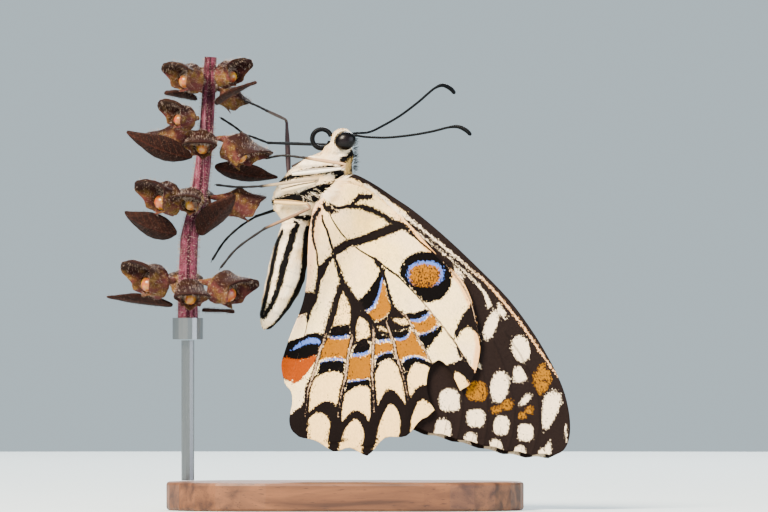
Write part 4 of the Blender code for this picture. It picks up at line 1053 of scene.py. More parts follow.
roots, normals = scatter(skin.data, 42000, 11)
on_eye = np.hypot((roots[:, 0] - 0.05) / 1.75, (roots[:, 2] - 51.75) / 1.5) < 1
roots, normals = roots[~on_eye], normals[~on_eye]
rng = np.random.default_rng(12)
length = np.where(roots[:, 2] < 40.3, 0.42, 0.62) * (0.75 + 0.5 * rng.random(len(roots)))
length[roots[:, 2] > 49.5] *= 0.6
leaves("body_coat", roots, normals, body_lie(roots), length, 0.3 * length + 0.02, 0.2, body_unwrap(roots),
       body_scales, {"body_marks": body_fields(roots), "scale_tone": rng.random(len(roots))}, 13)
print("coat leaves:", len(roots))

# %% [markdown]
# Longer hairs stand where the coat would look clipped: cream ones hide the joint between the wings and
# the thorax, and thin black bristles line the nape. Each tuft is rooted along a line, and its hairs
# lean from one direction at the line's start to another at its end.

# %% Long hairs
def hair_tuft(name, starts, ends, directions, count, length, width, spread, marks, seed):
    """Fine hairs rooted along a line, each leaning its own way. Marks gives the paint of their roots."""
    random = np.random.default_rng(seed)
    share = random.random((count, 1))
    spots = np.array(starts) + share * (np.array(ends) - np.array(starts)) + random.normal(0, spread, (count, 3))
    lie = np.array(directions[0]) + share * (np.array(directions[1]) - np.array(directions[0]))
    lie = lie + random.normal(0, 0.16, (count, 3))
    normals = np.tile((0.0, np.sign(spots[:, 1].mean()) or -1.0, 0.05), (count, 1))
    return leaves(name, spots, normals, lie, length * (0.6 + 0.6 * random.random(count)), np.full(count, width), 0.12,
                  body_unwrap(spots), body_scales,
                  {"body_marks": np.tile(marks, (count, 1)), "scale_tone": 0.3 + 0.7 * random.random(count)}, seed + 1)


CREAM, BLACK = (9.0, 9.0, 0.0), (-9.0, 9.0, 0.0)
fine = 1
for side, name in ((-1, "left"), (1, "right")):
    # cream hairs hide the joint between the wing bases and the thorax
    hair_tuft("wing_base_hairs_" + name, (-0.6, side * 3.05, 46.2), (-2.9, side * 3.9, 44.1),
              ((0.8, 0, 0.1), (0.7, 0, -0.5)), 620 // fine, 1.35, 0.06, 0.2, CREAM, 61 + side)
    hair_tuft("flank_hairs_" + name, (-5.9, side * 3.15, 43.9), (-4.3, side * 3.3, 44.4),
              ((0.5, 0, -0.6), (0.8, 0, -0.3)), 26 // fine, 0.9, 0.03, 0.25, CREAM, 65 + side)
# the nape carries a row of thin black bristles
hair_tuft("nape_hairs", (1.25, -0.1, 52.0), (1.15, -0.1, 47.2), ((0.9, 0, 0.35), (0.9, 0, 0.1)),
          160 // fine, 0.75, 0.04, 0.12, BLACK, 69)

# %% [markdown]
# ## Eyes
# A compound eye is a smooth dome of thousands of lenses, each about 0.02 mm across. It's dark, with a
# soft pale spot painted on it, a painted highlight for the glow that seems to look back, and a black rim
# where it meets the head.

# %% Eyes
def eye_material():
    # clear cornea over dark pigment
    made, tree, shader = new_material("cornea_over_pigment", Roughness=0.27, IOR=1.5, Specular_IOR_Level=0.13)
    place = add(tree, "TexCoord").outputs["Object"]
    lenses = add(tree, "TexVoronoi", {"Vector": place, "Scale": 14000})  # drawn coarser than the real lenses
    centre = add(tree, "SeparateXYZ", {0: add(tree, "Attribute", attribute_name="eye_highlight_spot").outputs["Vector"]})
    # a painted highlight: the dome is lighter round a spot a little off its middle, and near black away from it
    away = add(tree, "MapRange", {"Value": centre.outputs["X"], "From Min": 0.1, "From Max": 0.85})
    colour = add(tree, "Mix", {0: away, 6: linear("#120d10"), 7: linear("#020101")}, data_type="RGBA").outputs[2]
    tree.links.new(colour, shader.inputs["Base Color"])
    bump = add(tree, "Bump", {"Height": lenses.outputs["Distance"], "Strength": 0.15, "Distance": 0.00003})
    tree.links.new(bump.outputs[0], shader.inputs["Normal"])
    return made


cornea = eye_material()
EYE_CENTRE, EYE_RADII, EYE_TILT = Vector((0.05, 1.32, 51.65)), (1.5, 1.05, 1.28), math.radians(22)


def make_eye(side, node):
    bm = bmesh.new()
    bmesh.ops.create_icosphere(bm, subdivisions=5, radius=1)
    turn = Matrix.Rotation(-EYE_TILT, 4, "Y") @ Matrix.Diagonal((*EYE_RADII, 1))
    centre = Vector((EYE_CENTRE.x, side * EYE_CENTRE.y, EYE_CENTRE.z))
    unit = [vert.co.copy() for vert in bm.verts]
    for vert in bm.verts:
        vert.co = MM * (centre + turn @ vert.co)
    bmesh.ops.recalc_face_normals(bm, faces=bm.faces)
    eye = finish_piece(node + "_dome", bm, (cornea,), (node,), smooth_angle=180)
    # how far each point lies from the middle of the painted highlight
    away = [min(1.0, math.hypot(co.x + 0.08, (co.z - 0.12) * 1.15)) for co in unit]
    store(eye.data, "eye_highlight_spot", [(value, 0, 0) for value in away], "FLOAT_VECTOR")
    return eye


eyes = [make_eye(-1, "eye_left"), make_eye(1, "eye_right")]
print("eyes:", len(eyes))

# %% [markdown]
# ## Feelers and drinking tube
# The feelers are strings of short rings that swell into a club. The drinking tube is two half pipes
# zipped together and coiled like a watch spring, with fine rings along it.

# %% Rods along a path
ANTENNA_LEFT = (
    (0.7, -0.35, 52.5), (1.65, -0.6, 52.4), (3.0, -0.9, 52.2), (5.6, -1.6, 52.1), (8.1, -2.3, 52.3), (10.3, -2.9, 52.6),
    (12.4, -3.5, 53.0), (14.4, -4.0, 53.5), (15.8, -4.4, 53.6), (16.9, -4.7, 53.1), (17.6, -4.9, 52.4),
)
ANTENNA_RIGHT = (
    (0.7, 0.35, 52.65), (1.65, 0.6, 52.75), (3.4, 1.1, 52.9), (5.3, 1.8, 53.8), (7.7, 2.5, 55.2), (10.1, 3.2, 57.0),
    (11.6, 3.7, 58.3), (12.6, 4.0, 59.1), (13.7, 4.3, 59.5), (14.8, 4.6, 59.0), (15.4, 4.8, 58.3),
)


def rod(path, radii, sides=12):
    """A closed round rod along path as a bmesh, in metres, and each vertex's length along it and angle."""
    bm = bmesh.new()
    path = [Vector(point) for point in path]
    along, across, facts = 0.0, None, []
    rings = []
    for number, (point, radius) in enumerate(zip(path, radii)):
        before, after = path[max(0, number - 1)], path[min(len(path) - 1, number + 1)]
        forward = (after - before).normalized()
        if across is None:
            across = forward.orthogonal().normalized()
        across = (across - across.dot(forward) * forward).normalized()
        other = forward.cross(across)
        along += (point - path[max(0, number - 1)]).length
        ring = []
        for step in range(sides):
            angle = 2 * math.pi * step / sides
            spoke = math.cos(angle) * across + math.sin(angle) * other
            ring.append(bm.verts.new(MM * (point + float(radius) * spoke)))
            facts.append((along, step / sides, 0))
        rings.append(ring)
    for a, b in zip(rings, rings[1:]):
        for step in range(sides):
            bm.faces.new((a[step], a[(step + 1) % sides], b[(step + 1) % sides], b[step]))
    for ring in (rings[0], rings[-1]):
        bmesh.ops.contextual_create(bm, geom=ring)
    bmesh.ops.recalc_face_normals(bm, faces=bm.faces)
    return bm, facts


def rod_piece(name, path, radii, material, replaced, sides=12):
    """A rod as a piece, with its length and angle stored for the material."""
    bm, facts = rod(path, radii, sides)
    piece = finish_piece(name, bm, (material,), replaced, smooth_angle=60)
    store(piece.data, "along_rod", facts, "FLOAT_VECTOR")
    return piece


def ringed_material(name, dark, pale, pitch, roughness):
    # tanned chitin, ringed
    made, tree, shader = new_material(name, Roughness=roughness, IOR=1.55, Specular_IOR_Level=0.05)
    parts = add(tree, "SeparateXYZ", {0: add(tree, "Attribute", attribute_name="along_rod").outputs["Vector"]})
    rings = add(tree, "Math", {0: parts.outputs["X"], 1: pitch}, operation="DIVIDE")
    ring = add(tree, "Math", {0: rings}, operation="FRACT")
    past_middle = add(tree, "Math", {0: ring, 1: 0.5}, operation="SUBTRACT")
    valley = add(tree, "Math", {0: past_middle}, operation="ABSOLUTE")
    # the crest of each ring is painted a little paler: a painted highlight where light catches it
    ring_crest_and_highlight = add(tree, "MapRange", {"Value": valley, "From Min": 0.5, "From Max": 0.3})
    colour = add(tree, "Mix", {0: ring_crest_and_highlight, 6: linear(dark), 7: linear(pale)}, data_type="RGBA").outputs[2]
    tree.links.new(colour, shader.inputs["Base Color"])
    bump = add(tree, "Bump", {"Height": ring_crest_and_highlight, "Strength": 0.5, "Distance": 0.00004})
    tree.links.new(bump.outputs[0], shader.inputs["Normal"])
    return made


# the pale tone of each rod is the painted highlight on its ring crests
feeler_chitin = ringed_material("black_ringed_chitin", "#010101", "#05070a", 0.3, 0.45)
tube_chitin = ringed_material("drinking_tube_chitin", "#010101", "#08090c", 0.16, 0.35)
for node, points in (("antenna_left", ANTENNA_LEFT), ("antenna_right", ANTENNA_RIGHT)):
    path = smooth_path(points, 5)
    club = [max(0.0, (i / (len(path) - 1) - 0.7) / 0.3) for i in range(len(path))]
    radii = [0.17 + 0.14 * math.sin(math.pi * 0.8 * share) for share in club]
    radii[-1] *= 0.5
    rod_piece(node + "_ringed", path, radii, feeler_chitin, (node,))

COIL_CENTRE, COIL = Vector((-3.25, 0, 51.95)), 1.33
COIL_START, COIL_END = math.radians(14), math.radians(345)
path, radii = [], []
for step in range(73):
    share = step / 72
    angle = COIL_START + share * (COIL_END - COIL_START)
    inward = max(0.0, share - 0.8) / 0.2
    path.append(COIL_CENTRE + (COIL - 0.28 * inward) * Vector((math.cos(angle), 0, math.sin(angle))))
    radii.append(0.34 - 0.15 * inward)
rod_piece("proboscis_coil", path, radii, tube_chitin, ("proboscis",), 14)
print("feelers and drinking tube made")

# %% [markdown]
# ## Legs
# Each leg is thigh, shin and a foot of short rings that ends in two claws. White scales cover the
# near side of the thighs, and the feet are bare and dark. The legs on the far side are painted darker
# all along: painted shade under the body. One surface runs from hip to claw.

# %% Legs
LEGS = {
    # name: hip, end of the thigh, start of the shin, ankle, then the foot to the claw
    "fore_left": ((-7.4, -2.5, 47.05), (-0.6, -2.9, 47.8), (0.2, -3.15, 48.35), (-5.8, -3.0, 49.3),
                  (-8.7, -2.2, 49.6), (-11.1, -1.2, 49.2)),
    "fore_right": ((-7.4, 2.1, 48.0), (-1.6, 3.1, 50.45), (-0.8, 3.35, 51.1), (-10.8, 1.0, 51.4),
                   (-12.9, 0.8, 52.2), (-14.1, 0.8, 52.6), (-15.4, 0.9, 53.6), (-17.4, 1.2, 54.9)),
    "mid_left": ((-8.9, -2.5, 44.7), (-4.3, -3.2, 45.75), (-3.5, -3.6, 46.35), (-11.7, -3.0, 45.3),
                 (-15.0, -1.9, 45.2), (-18.0, -1.4, 45.5)),
    "mid_right": ((-7.9, 2.7, 46.8), (-8.2, 5.3, 54.2), (-8.35, 5.2, 54.7), (-11.0, -0.9, 55.9),
                  (-12.4, -1.5, 56.6), (-13.9, -1.8, 57.2)),
    "hind_left": ((-9.9, -2.4, 43.15), (-5.3, -3.35, 42.85), (-4.8, -3.6, 42.25), (-11.2, -3.1, 39.4),
                  (-15.0, -2.2, 36.7), (-17.4, -1.8, 33.9)),
    "hind_right": ((-9.7, 2.6, 43.9), (-4.9, 3.3, 44.2), (-4.4, 3.6, 43.8), (-12.5, 2.8, 41.1),
                   (-14.8, 2.2, 39.6), (-16.9, 1.7, 37.6), (-18.6, 1.5, 35.0)),
}
# leg: (thigh, shin, foot) colours; the right legs, on the far side under the body, are darker all along: painted shade
LEG_COLOURS = {
    "fore_left": ("#fff0d8", "#b48e68", "#120e0e"),
    "fore_right": ("#2a2222", "#14161a", "#060607"),
    "mid_left": ("#ecd2a4", "#a08a6c", "#121012"),
    "mid_right": ("#33262a", "#43342e", "#120c0c"),
    "hind_left": ("#dcb478", "#7c5e46", "#161212"),
    "hind_right": ("#181416", "#0a0c0e", "#040404"),
}


def leg_material(name, thigh, shin, foot, ends):
    # scaled chitin, bare on the foot
    made, tree, shader = new_material("leg_chitin_" + name, Roughness=0.55, IOR=1.55, Specular_IOR_Level=0.12)
    parts = add(tree, "SeparateXYZ", {0: add(tree, "Attribute", attribute_name="along_rod").outputs["Vector"]})
    place = add(tree, "TexCoord").outputs["Object"]
    grain = add(tree, "TexNoise", {"Vector": place, "Scale": 5000, "Detail": 2})
    centred = add(tree, "Math", {0: grain.outputs["Fac"], 1: 0.5}, operation="SUBTRACT")
    moved = add(tree, "Math", {0: centred, 1: 0.8, 2: parts.outputs["X"]}, operation="MULTIPLY_ADD")
    past_thigh = add(tree, "MapRange", {"Value": moved, "From Min": ends[0] - 0.15, "From Max": ends[0] + 0.15})
    past_shin = add(tree, "MapRange", {"Value": moved, "From Min": ends[1] - 0.6, "From Max": ends[1] + 0.6})
    colour = add(tree, "Mix", {0: past_thigh, 6: linear(thigh), 7: linear(shin)}, data_type="RGBA").outputs[2]
    colour = add(tree, "Mix", {0: past_shin, 6: colour, 7: linear(foot)}, data_type="RGBA").outputs[2]
    # a dark line runs along the lower edge of thigh and shin
    past_edge = add(tree, "Math", {0: parts.outputs["Y"], 1: 0.25}, operation="SUBTRACT")
    off_edge = add(tree, "Math", {0: past_edge}, operation="ABSOLUTE")
    ragged = add(tree, "Math", {0: grain.outputs["Fac"], 1: 0.08, 2: off_edge}, operation="MULTIPLY_ADD")
    line = add(tree, "MapRange", {"Value": ragged, "From Min": 0.12, "From Max": 0.08})
    faint = add(tree, "Math", {0: line, 1: 0.75}, operation="MULTIPLY")
    colour = add(tree, "Mix", {0: faint, 6: colour, 7: linear("#2a2222")}, data_type="RGBA").outputs[2]
    tree.links.new(colour, shader.inputs["Base Color"])
    bump = add(tree, "Bump", {"Height": grain.outputs["Fac"], "Strength": 0.3, "Distance": 0.00005})
    tree.links.new(bump.outputs[0], shader.inputs["Normal"])
    return made


def make_leg(name):
    hip, thigh_end, shin_start, ankle, *foot = [Vector(point) for point in LEGS[name]]
    thigh = [(hip.lerp(thigh_end, t), 0.34 * (0.62 + 0.5 * math.sin(math.pi * min(1, t * 0.92 + 0.12))))
             for t in np.linspace(0, 1, 14)]
    knee = [((thigh_end + shin_start) / 2 + 0.08 * (thigh_end - hip).normalized(), 0.2)]
    shin = [(shin_start.lerp(ankle, t), 0.17 + 0.07 * math.sin(math.pi * t) ** 0.7 + 0.05 * (t > 0.97))
            for t in np.linspace(0.02, 1, 14)]
    rings = smooth_path([ankle, *foot], 10)[1:]
    toes = [(point, 0.15 + 0.035 * math.sin(math.pi * (number / 5 % 1)) ** 2) for number, point in enumerate(rings)]
    path, radii = zip(*thigh, *knee, *shin, *toes)
    bm, facts = rod(path, radii, 10)
    # two claws, hooked down at the tip
    end, forward = Vector(rings[-1]), (Vector(rings[-1]) - Vector(rings[-3])).normalized()
    for side in (-1, 1):
        aside = Vector((0, 0.22 * side, 0))
        claw_path = [end, end + 0.2 * forward + aside, end + 0.35 * forward + 1.4 * aside + Vector((0, 0, -0.12))]
        claw, claw_facts = rod(claw_path, (0.07, 0.05, 0.015), 5)
        extra = bpy.data.meshes.new("claw")
        claw.to_mesh(extra)
        claw.free()
        bm.from_mesh(extra)
        bpy.data.meshes.remove(extra)
        facts += [(99, 0.75, 0)] * len(claw_facts)
    lengths = ((thigh_end - hip).length + 0.1, (thigh_end - hip).length + (ankle - shin_start).length)
    material = leg_material(name, *LEG_COLOURS[name], lengths)
    replaced = [f"leg_{name}_{part}" for part in ("femur", "tibia", "tarsus")]
    piece = finish_piece("leg_" + name, bm, (material,), replaced, smooth_angle=60)
    store(piece.data, "along_rod", facts, "FLOAT_VECTOR")
    return piece


legs = [make_leg(name) for name in LEGS]
print("legs:", len(legs))

# %% [markdown]
# ## The stem
# Basil has a square stem with a groove down each side, purple where the sun has reached it and covered
# with fine white bristles. A rod with four shallow lobes gives the section.

# %% Stem
STEM_AXIS = (  # (x, z, radius)
    (-22.0, 24.4, 1.60), (-22.0, 27.6, 1.58), (-22.0, 33.0, 1.46), (-21.8, 38.0, 1.40), (-20.6, 43.0, 1.34),
    (-19.9, 48.0, 1.24), (-19.4, 53.0, 1.12), (-19.1, 58.0, 1.05), (-18.8, 63.4, 0.95),
)
LOBE = 0.055  # depth of the grooves, as a share of the radius


def plant_material(name, dark, light, pale, scale, speckled=0.45, roughness=0.75, gloss=0.12):
    """Living tissue: two tones in soft patches, with a fine pale speckle of glands and hair roots."""
    made, tree, shader = new_material(name, Roughness=roughness, IOR=1.42, Specular_IOR_Level=gloss)
    place = add(tree, "TexCoord").outputs["Object"]
    patches = add(tree, "TexNoise", {"Vector": place, "Scale": scale, "Detail": 4, "Roughness": 0.6})
    speckle = add(tree, "TexNoise", {"Vector": place, "Scale": 7000, "Detail": 2})
    tone = add(tree, "MapRange", {"Value": patches.outputs["Fac"], "From Min": 0.35, "From Max": 0.65})
    colour = add(tree, "Mix", {0: tone, 6: linear(dark), 7: linear(light)}, data_type="RGBA").outputs[2]
    spot = add(tree, "MapRange", {"Value": speckle.outputs["Fac"], "From Min": 0.58, "From Max": 0.74,
                                  "To Max": speckled})
    colour = add(tree, "Mix", {0: spot, 6: colour, 7: linear(pale)}, data_type="RGBA").outputs[2]
    grit = add(tree, "Math", {0: speckle.outputs["Fac"], 1: 0.6}, operation="MULTIPLY")
    relief = add(tree, "Math", {0: patches.outputs["Fac"], 1: grit}, operation="ADD")
    bump = add(tree, "Bump", {"Height": relief, "Strength": 0.6, "Distance": 0.00018})
    tree.links.new(bump.outputs[0], shader.inputs["Normal"])
    return made, tree, shader, colour


# skin of a living basil stem, purple with anthocyanin
stem_skin, tree, shader, colour = plant_material("basil_stem_skin", "#3a141e", "#6a3042", "#a88490", 900)
parts = add(tree, "SeparateXYZ", {0: add(tree, "Attribute", attribute_name="along_rod").outputs["Vector"]})
# the grooves are painted darker: painted shade in the recesses
quarters = add(tree, "Math", {0: parts.outputs["Y"], 1: 4.0}, operation="MULTIPLY")
lobes = add(tree, "Math", {0: quarters}, operation="FRACT")
past_groove = add(tree, "Math", {0: lobes, 1: 0.5}, operation="SUBTRACT")
off_groove = add(tree, "Math", {0: past_groove}, operation="ABSOLUTE")
groove = add(tree, "MapRange", {"Value": off_groove, "From Min": 0.2, "From Max": 0.05})
shade = add(tree, "Math", {0: groove, 1: 0.75}, operation="MULTIPLY")
groove_shade_and_fibres = add(tree, "Mix", {0: shade, 6: colour, 7: linear("#1c0810")}, data_type="RGBA").outputs[2]
# fibres under the skin run lengthwise, some dark, some pale
fibre_place = add(tree, "VectorMath", {0: add(tree, "TexCoord").outputs["Object"], 1: (2600, 2600, 60)},
                  operation="MULTIPLY")
fibres = add(tree, "TexNoise", {"Vector": fibre_place, "Scale": 1.0, "Detail": 2})
dark_fibre = add(tree, "MapRange", {"Value": fibres.outputs["Fac"], "From Min": 0.46, "From Max": 0.34, "To Max": 0.8})
pale_fibre = add(tree, "MapRange", {"Value": fibres.outputs["Fac"], "From Min": 0.56, "From Max": 0.68, "To Max": 0.55})
groove_shade_and_fibres = add(tree, "Mix", {0: dark_fibre, 6: groove_shade_and_fibres, 7: linear("#260a12")}, data_type="RGBA").outputs[2]
groove_shade_and_fibres = add(tree, "Mix", {0: pale_fibre, 6: groove_shade_and_fibres, 7: linear("#93606e")}, data_type="RGBA").outputs[2]
tree.links.new(groove_shade_and_fibres, shader.inputs["Base Color"])

heights = np.linspace(24.4, 63.4, 110)
axis_x, axis_z, axis_r = zip(*STEM_AXIS)
path = [(float(np.interp(z, axis_z, axis_x)), 0.0, float(z)) for z in heights]
radii = [float(np.interp(z, axis_z, axis_r)) for z in heights]
bm, facts = rod(path, radii, 32)
for vert, (along, turn, _) in zip(bm.verts, facts):
    middle = Vector((float(np.interp(vert.co.z / MM, axis_z, axis_x)) * MM, 0, vert.co.z))
    swell = 1 + LOBE * math.cos(8 * math.pi * turn) - LOBE
    vert.co = middle + (vert.co - middle) * swell
stem = finish_piece("stem_grooved", bm, (stem_skin,), ("perch_stem",), smooth_angle=50)
store(stem.data, "along_rod", facts, "FLOAT_VECTOR")
print("stem faces:", len(stem.data.polygons))

# %% [markdown]
# ## Bells and leaves
# The flowers are over. What stands in whorls on the stem is the calyx of each: a ribbed bell with a
# broad brown upper lip and pointed teeth below, and in its mouth the nutlets ripen behind a ring of
# white bristles. A small leaf, the bract, stands under each group. Copies of the solids are subdivided
# until they are soft, ruffled by a noise, and then dressed with bristles.

# %% Bells
BELLS = {  # azimuth and height on the stem, stalk, facing azimuth, droop, length, mouth radius
    "1_left": (216, 60.5, 0.5, 224, 6, 3.5, 1.7), "1_front": (26, 58.9, 0.9, 4, 50, 2.9, 1.35),
    "1_right": (322, 61.0, 0.5, 312, 4, 3.2, 1.5), "1_back": (95, 60.4, 0.9, 95, 10, 3.4, 1.6),
    "2_left": (203, 54.8, 0.9, 226, 0, 3.3, 1.45), "2_front": (266, 52.3, 0.8, 262, 34, 3.3, 1.5),
    "2_right": (344, 52.0, 1.8, 322, 42, 4.1, 1.9), "2_back": (150, 52.8, 1.6, 160, 26, 3.8, 1.7),
    "3_left": (200, 43.7, 1.5, 224, 6, 4.0, 1.9), "3_front": (260, 44.0, 0.8, 252, 26, 3.1, 1.4),
    "3_right": (12, 43.8, 1.9, 2, 24, 4.2, 1.7), "3_back": (95, 43.4, 0.9, 95, 10, 3.8, 1.7),
    "4_left": (199, 32.1, 1.6, 222, 4, 4.0, 1.95), "4_front": (274, 31.6, 0.8, 276, 38, 3.5, 1.6),
    "4_right": (345, 31.9, 1.9, 320, 24, 4.2, 2.0), "4_back": (95, 32.0, 0.9, 95, 14, 3.8, 1.7),
}


def subdivided(bm, levels):
    """The bmesh after a Subdivision modifier, as a bmesh."""
    mesh = bpy.data.meshes.new("draft")
    bm.to_mesh(mesh)
    bm.free()
    draft = bpy.data.objects.new("draft", mesh)
    bpy.context.scene.collection.objects.link(draft)
    smooth = draft.modifiers.new("Smooth", "SUBSURF")
    smooth.levels = smooth.render_levels = levels
    bpy.context.view_layer.update()
    made = bpy.data.meshes.new_from_object(draft.evaluated_get(bpy.context.evaluated_depsgraph_get()))
    bpy.data.objects.remove(draft)
    bpy.data.meshes.remove(mesh)
    soft = bmesh.new()
    soft.from_mesh(made)
    bpy.data.meshes.remove(made)
    return soft


def ruffled(bm, depth, pitch, seed):
    """Every vertex moved along its normal by a smooth noise."""
    bm.normal_update()
    shifts = [(v, v.normal * noise.noise(v.co / (pitch * MM) + Vector((seed, 0, 0))) * depth * MM) for v in bm.verts]
    for vert, shift in shifts:
        vert.co += shift


def axes_of(facing, droop):
    """The directions outward, sideways and upward of a bell, for its angles in degrees."""
    facing, droop = math.radians(facing), math.radians(droop)
    outward = Vector((math.cos(facing) * math.cos(droop), math.sin(facing) * math.cos(droop), -math.sin(droop)))
    sideways = outward.cross(Vector((0, 0, 1))).normalized()
    return outward, sideways, sideways.cross(outward)


# calyx tissue: brown-purple lip, ochre and green cup, orange nutlets in the mouth
bell_skin, tree, shader, colour = plant_material("basil_calyx_skin", "#36240e", "#684a20", "#b89c74", 1100, 0.75)
parts = add(tree, "SeparateXYZ", {0: add(tree, "Attribute", attribute_name="bell_place").outputs["Vector"]})
hue = add(tree, "TexNoise", {"Vector": add(tree, "TexCoord").outputs["Object"], "Scale": 700, "Detail": 3})
blush = add(tree, "MapRange", {"Value": hue.outputs["Fac"], "From Min": 0.38, "From Max": 0.58, "To Max": 0.8})
colour = add(tree, "Mix", {0: blush, 6: colour, 7: linear("#4a1e26")}, data_type="RGBA").outputs[2]
centred = add(tree, "Math", {0: hue.outputs["Fac"], 1: 0.5}, operation="SUBTRACT")
lip = add(tree, "Math", {0: centred, 1: 1.2, 2: parts.outputs["Y"]}, operation="MULTIPLY_ADD")
on_lip = add(tree, "MapRange", {"Value": lip, "From Min": 0.35, "From Max": 0.85})
browned = add(tree, "Math", {0: on_lip, 1: 0.92}, operation="MULTIPLY")
colour = add(tree, "Mix", {0: browned, 6: colour, 7: linear("#1a0907")}, data_type="RGBA").outputs[2]
# deep in the mouth it is painted dark: painted shade inside the cup
near_axis = add(tree, "MapRange", {"Value": parts.outputs["Z"], "From Min": 0.97, "From Max": 0.73})
past_cup = add(tree, "MapRange", {"Value": parts.outputs["X"], "From Min": 0.6, "From Max": 0.72})
painted_mouth_shade = add(tree, "Math", {0: near_axis, 1: past_cup}, operation="MULTIPLY")
mouth_shade_strength = add(tree, "Math", {0: painted_mouth_shade, 1: 0.8}, operation="MULTIPLY")
colour = add(tree, "Mix", {0: mouth_shade_strength, 6: colour, 7: linear("#1c0c0a")}, data_type="RGBA").outputs[2]
tree.links.new(colour, shader.inputs["Base Color"])
# ripening nutlet, orange and pink to yellow, glossy and wet-looking
fruit_skin, tree, shader = new_material("ripening_nutlet", Roughness=0.32, IOR=1.45, Coat_Weight=0.3,
                                        Coat_Roughness=0.15, Subsurface_Weight=0.15, Subsurface_Scale=0.0004)
place = add(tree, "TexCoord").outputs["Object"]
hue = add(tree, "TexNoise", {"Vector": place, "Scale": 650, "Detail": 2})
tone = add(tree, "MapRange", {"Value": hue.outputs["Fac"], "From Min": 0.38, "From Max": 0.62})
colour = add(tree, "Mix", {0: tone, 6: linear("#964c1c"), 7: linear("#a67a18")}, data_type="RGBA").outputs[2]
blush = add(tree, "TexNoise", {"Vector": place, "Scale": 1500, "Detail": 2})
pink = add(tree, "MapRange", {"Value": blush.outputs["Fac"], "From Min": 0.52, "From Max": 0.66, "To Max": 0.8})
colour = add(tree, "Mix", {0: pink, 6: colour, 7: linear("#8c2e30")}, data_type="RGBA").outputs[2]
tree.links.new(colour, shader.inputs["Base Color"])
# fine stiff hairs, clear, so they look white
bristle, _, shader = new_material("clear_bristles", Roughness=0.5, IOR=1.5)
shader.inputs["Base Color"].default_value = linear("#a08a7c")
leaf_bristle, _, shader = new_material("short_leaf_bristles", Roughness=0.6, IOR=1.5)
shader.inputs["Base Color"].default_value = linear("#4c3228")


def bristles(name, mesh, count, length, width, seed, unwrap, keep=None, material=None):
    """Stiff hairs scattered over a mesh, each leaning its own way."""
    spots, normals = scatter(mesh, count, seed)
    if keep is not None:
        kept = keep(spots)
        spots, normals = spots[kept], normals[kept]
    random = np.random.default_rng(seed + 1)
    lie = random.normal(0, 1, spots.shape)
    lengths = length * (0.5 + random.random(len(spots)))
    return leaves(name, spots, normals, lie, lengths * 0.5, np.full(len(spots), width), 1.9, unwrap(spots),
                  material or bristle, {}, seed + 2)


bells = {}
for number, (key, (azimuth, z, stalk, facing, droop, length, mouth)) in enumerate(BELLS.items()):
    outward, sideways, upward = axes_of(facing, droop)
    turn = math.radians(azimuth)
    off = float(np.interp(z, axis_z, axis_r)) + 0.15 + stalk
    foot = Vector((float(np.interp(z, axis_z, axis_x)) + off * math.cos(turn), off * math.sin(turn), z))
    bm = solid_copy(("calyx_" + key,))
    bmesh.ops.subdivide_edges(bm, edges=bm.edges[:], cuts=1, use_grid_fill=True)
    ruffled(bm, 0.16, 0.8, number * 7.3)
    bm = subdivided(bm, 2)
    ruffled(bm, 0.06, 0.35, number * 3.1)
    # the cup bulges round the nutlets, and the upper lip spreads like a hood
    for vert in bm.verts:
        local = vert.co / MM - foot
        along = local.dot(outward) / length
        rise, side = local.dot(upward), local.dot(sideways)
        bulge = 0.42 * math.exp(-(((along - 0.36) / 0.24) ** 2))
        hood = min(1.0, max(0.0, (along - 0.45) / 0.4)) * min(1.0, max(0.0, (rise / mouth - 0.1) / 0.6))
        vert.co += MM * bulge * (rise * upward + side * sideways)
        vert.co += MM * hood * (0.3 * outward + 0.1 * upward + 0.22 * side * sideways)
    bell = finish_piece("bell_" + key, bm, (bell_skin,), ("calyx_" + key,), smooth_angle=70)
    spots = places(bell.data)
    middle = (spots.min(0) + spots.max(0)) / 2
    # along the bell, up across it in mouth radii, and off its axis in mouth radii
    local = (spots - np.array(foot)) @ np.array([outward, upward, sideways]).T / (length, mouth, mouth)
    off_axis = np.hypot(local[:, 1], local[:, 2])
    store(bell.data, "bell_place", np.stack([local[:, 0], local[:, 1], off_axis], 1), "FLOAT_VECTOR")
    bells[key] = bell
    nutlet = bmesh.new()
    bmesh.ops.create_icosphere(nutlet, subdivisions=3, radius=MM)
    for vert in nutlet.verts:
        local_place = vert.co.x * outward * 0.72 * mouth + (vert.co.y * sideways + vert.co.z * upward) * 0.62 * mouth
        vert.co = local_place + MM * (foot + (0.9 * length - 0.36 * mouth) * outward - 0.16 * mouth * upward)
    bmesh.ops.recalc_face_normals(nutlet, faces=nutlet.faces)
    finish_piece("nutlet_" + key, nutlet, (fruit_skin,), smooth_angle=180)
    cell = np.array((number % 4, number // 4)) / 4

    def bell_unwrap(points, middle=middle, cell=cell):
        around = np.arctan2(points[:, 1] - middle[1], points[:, 0] - middle[0]) / (2 * math.pi) + 0.5
        height = np.clip((points[:, 2] - middle[2]) / 8 + 0.5, 0.02, 0.98)
        return cell + np.stack([around, height], 1) / 4.2 + 0.005

    bristles("bristles_" + key, bell.data, 480, 0.32, 0.028, 40 + number, bell_unwrap)
    # the ring of longer hairs in the mouth, leaning in over the nutlets
    random = np.random.default_rng(200 + number)
    around = random.random(110) * 2 * math.pi
    inward = -(np.cos(around)[:, None] * np.array(upward) + np.sin(around)[:, None] * np.array(sideways))
    ring = np.array(foot) + (0.8 + 0.08 * random.random(110))[:, None] * length * np.array(outward)
    ring = ring - inward * mouth * 0.8 + inward * random.random(110)[:, None] * 0.2
    leaves("mouth_hairs_" + key, ring, -inward, np.array(outward) + 0.9 * inward + random.normal(0, 0.25, ring.shape),
           0.55 + 0.5 * random.random(110), np.full(110, 0.03), -0.55, bell_unwrap(ring), bristle, {},
           300 + number)
print("bells:", len(bells))

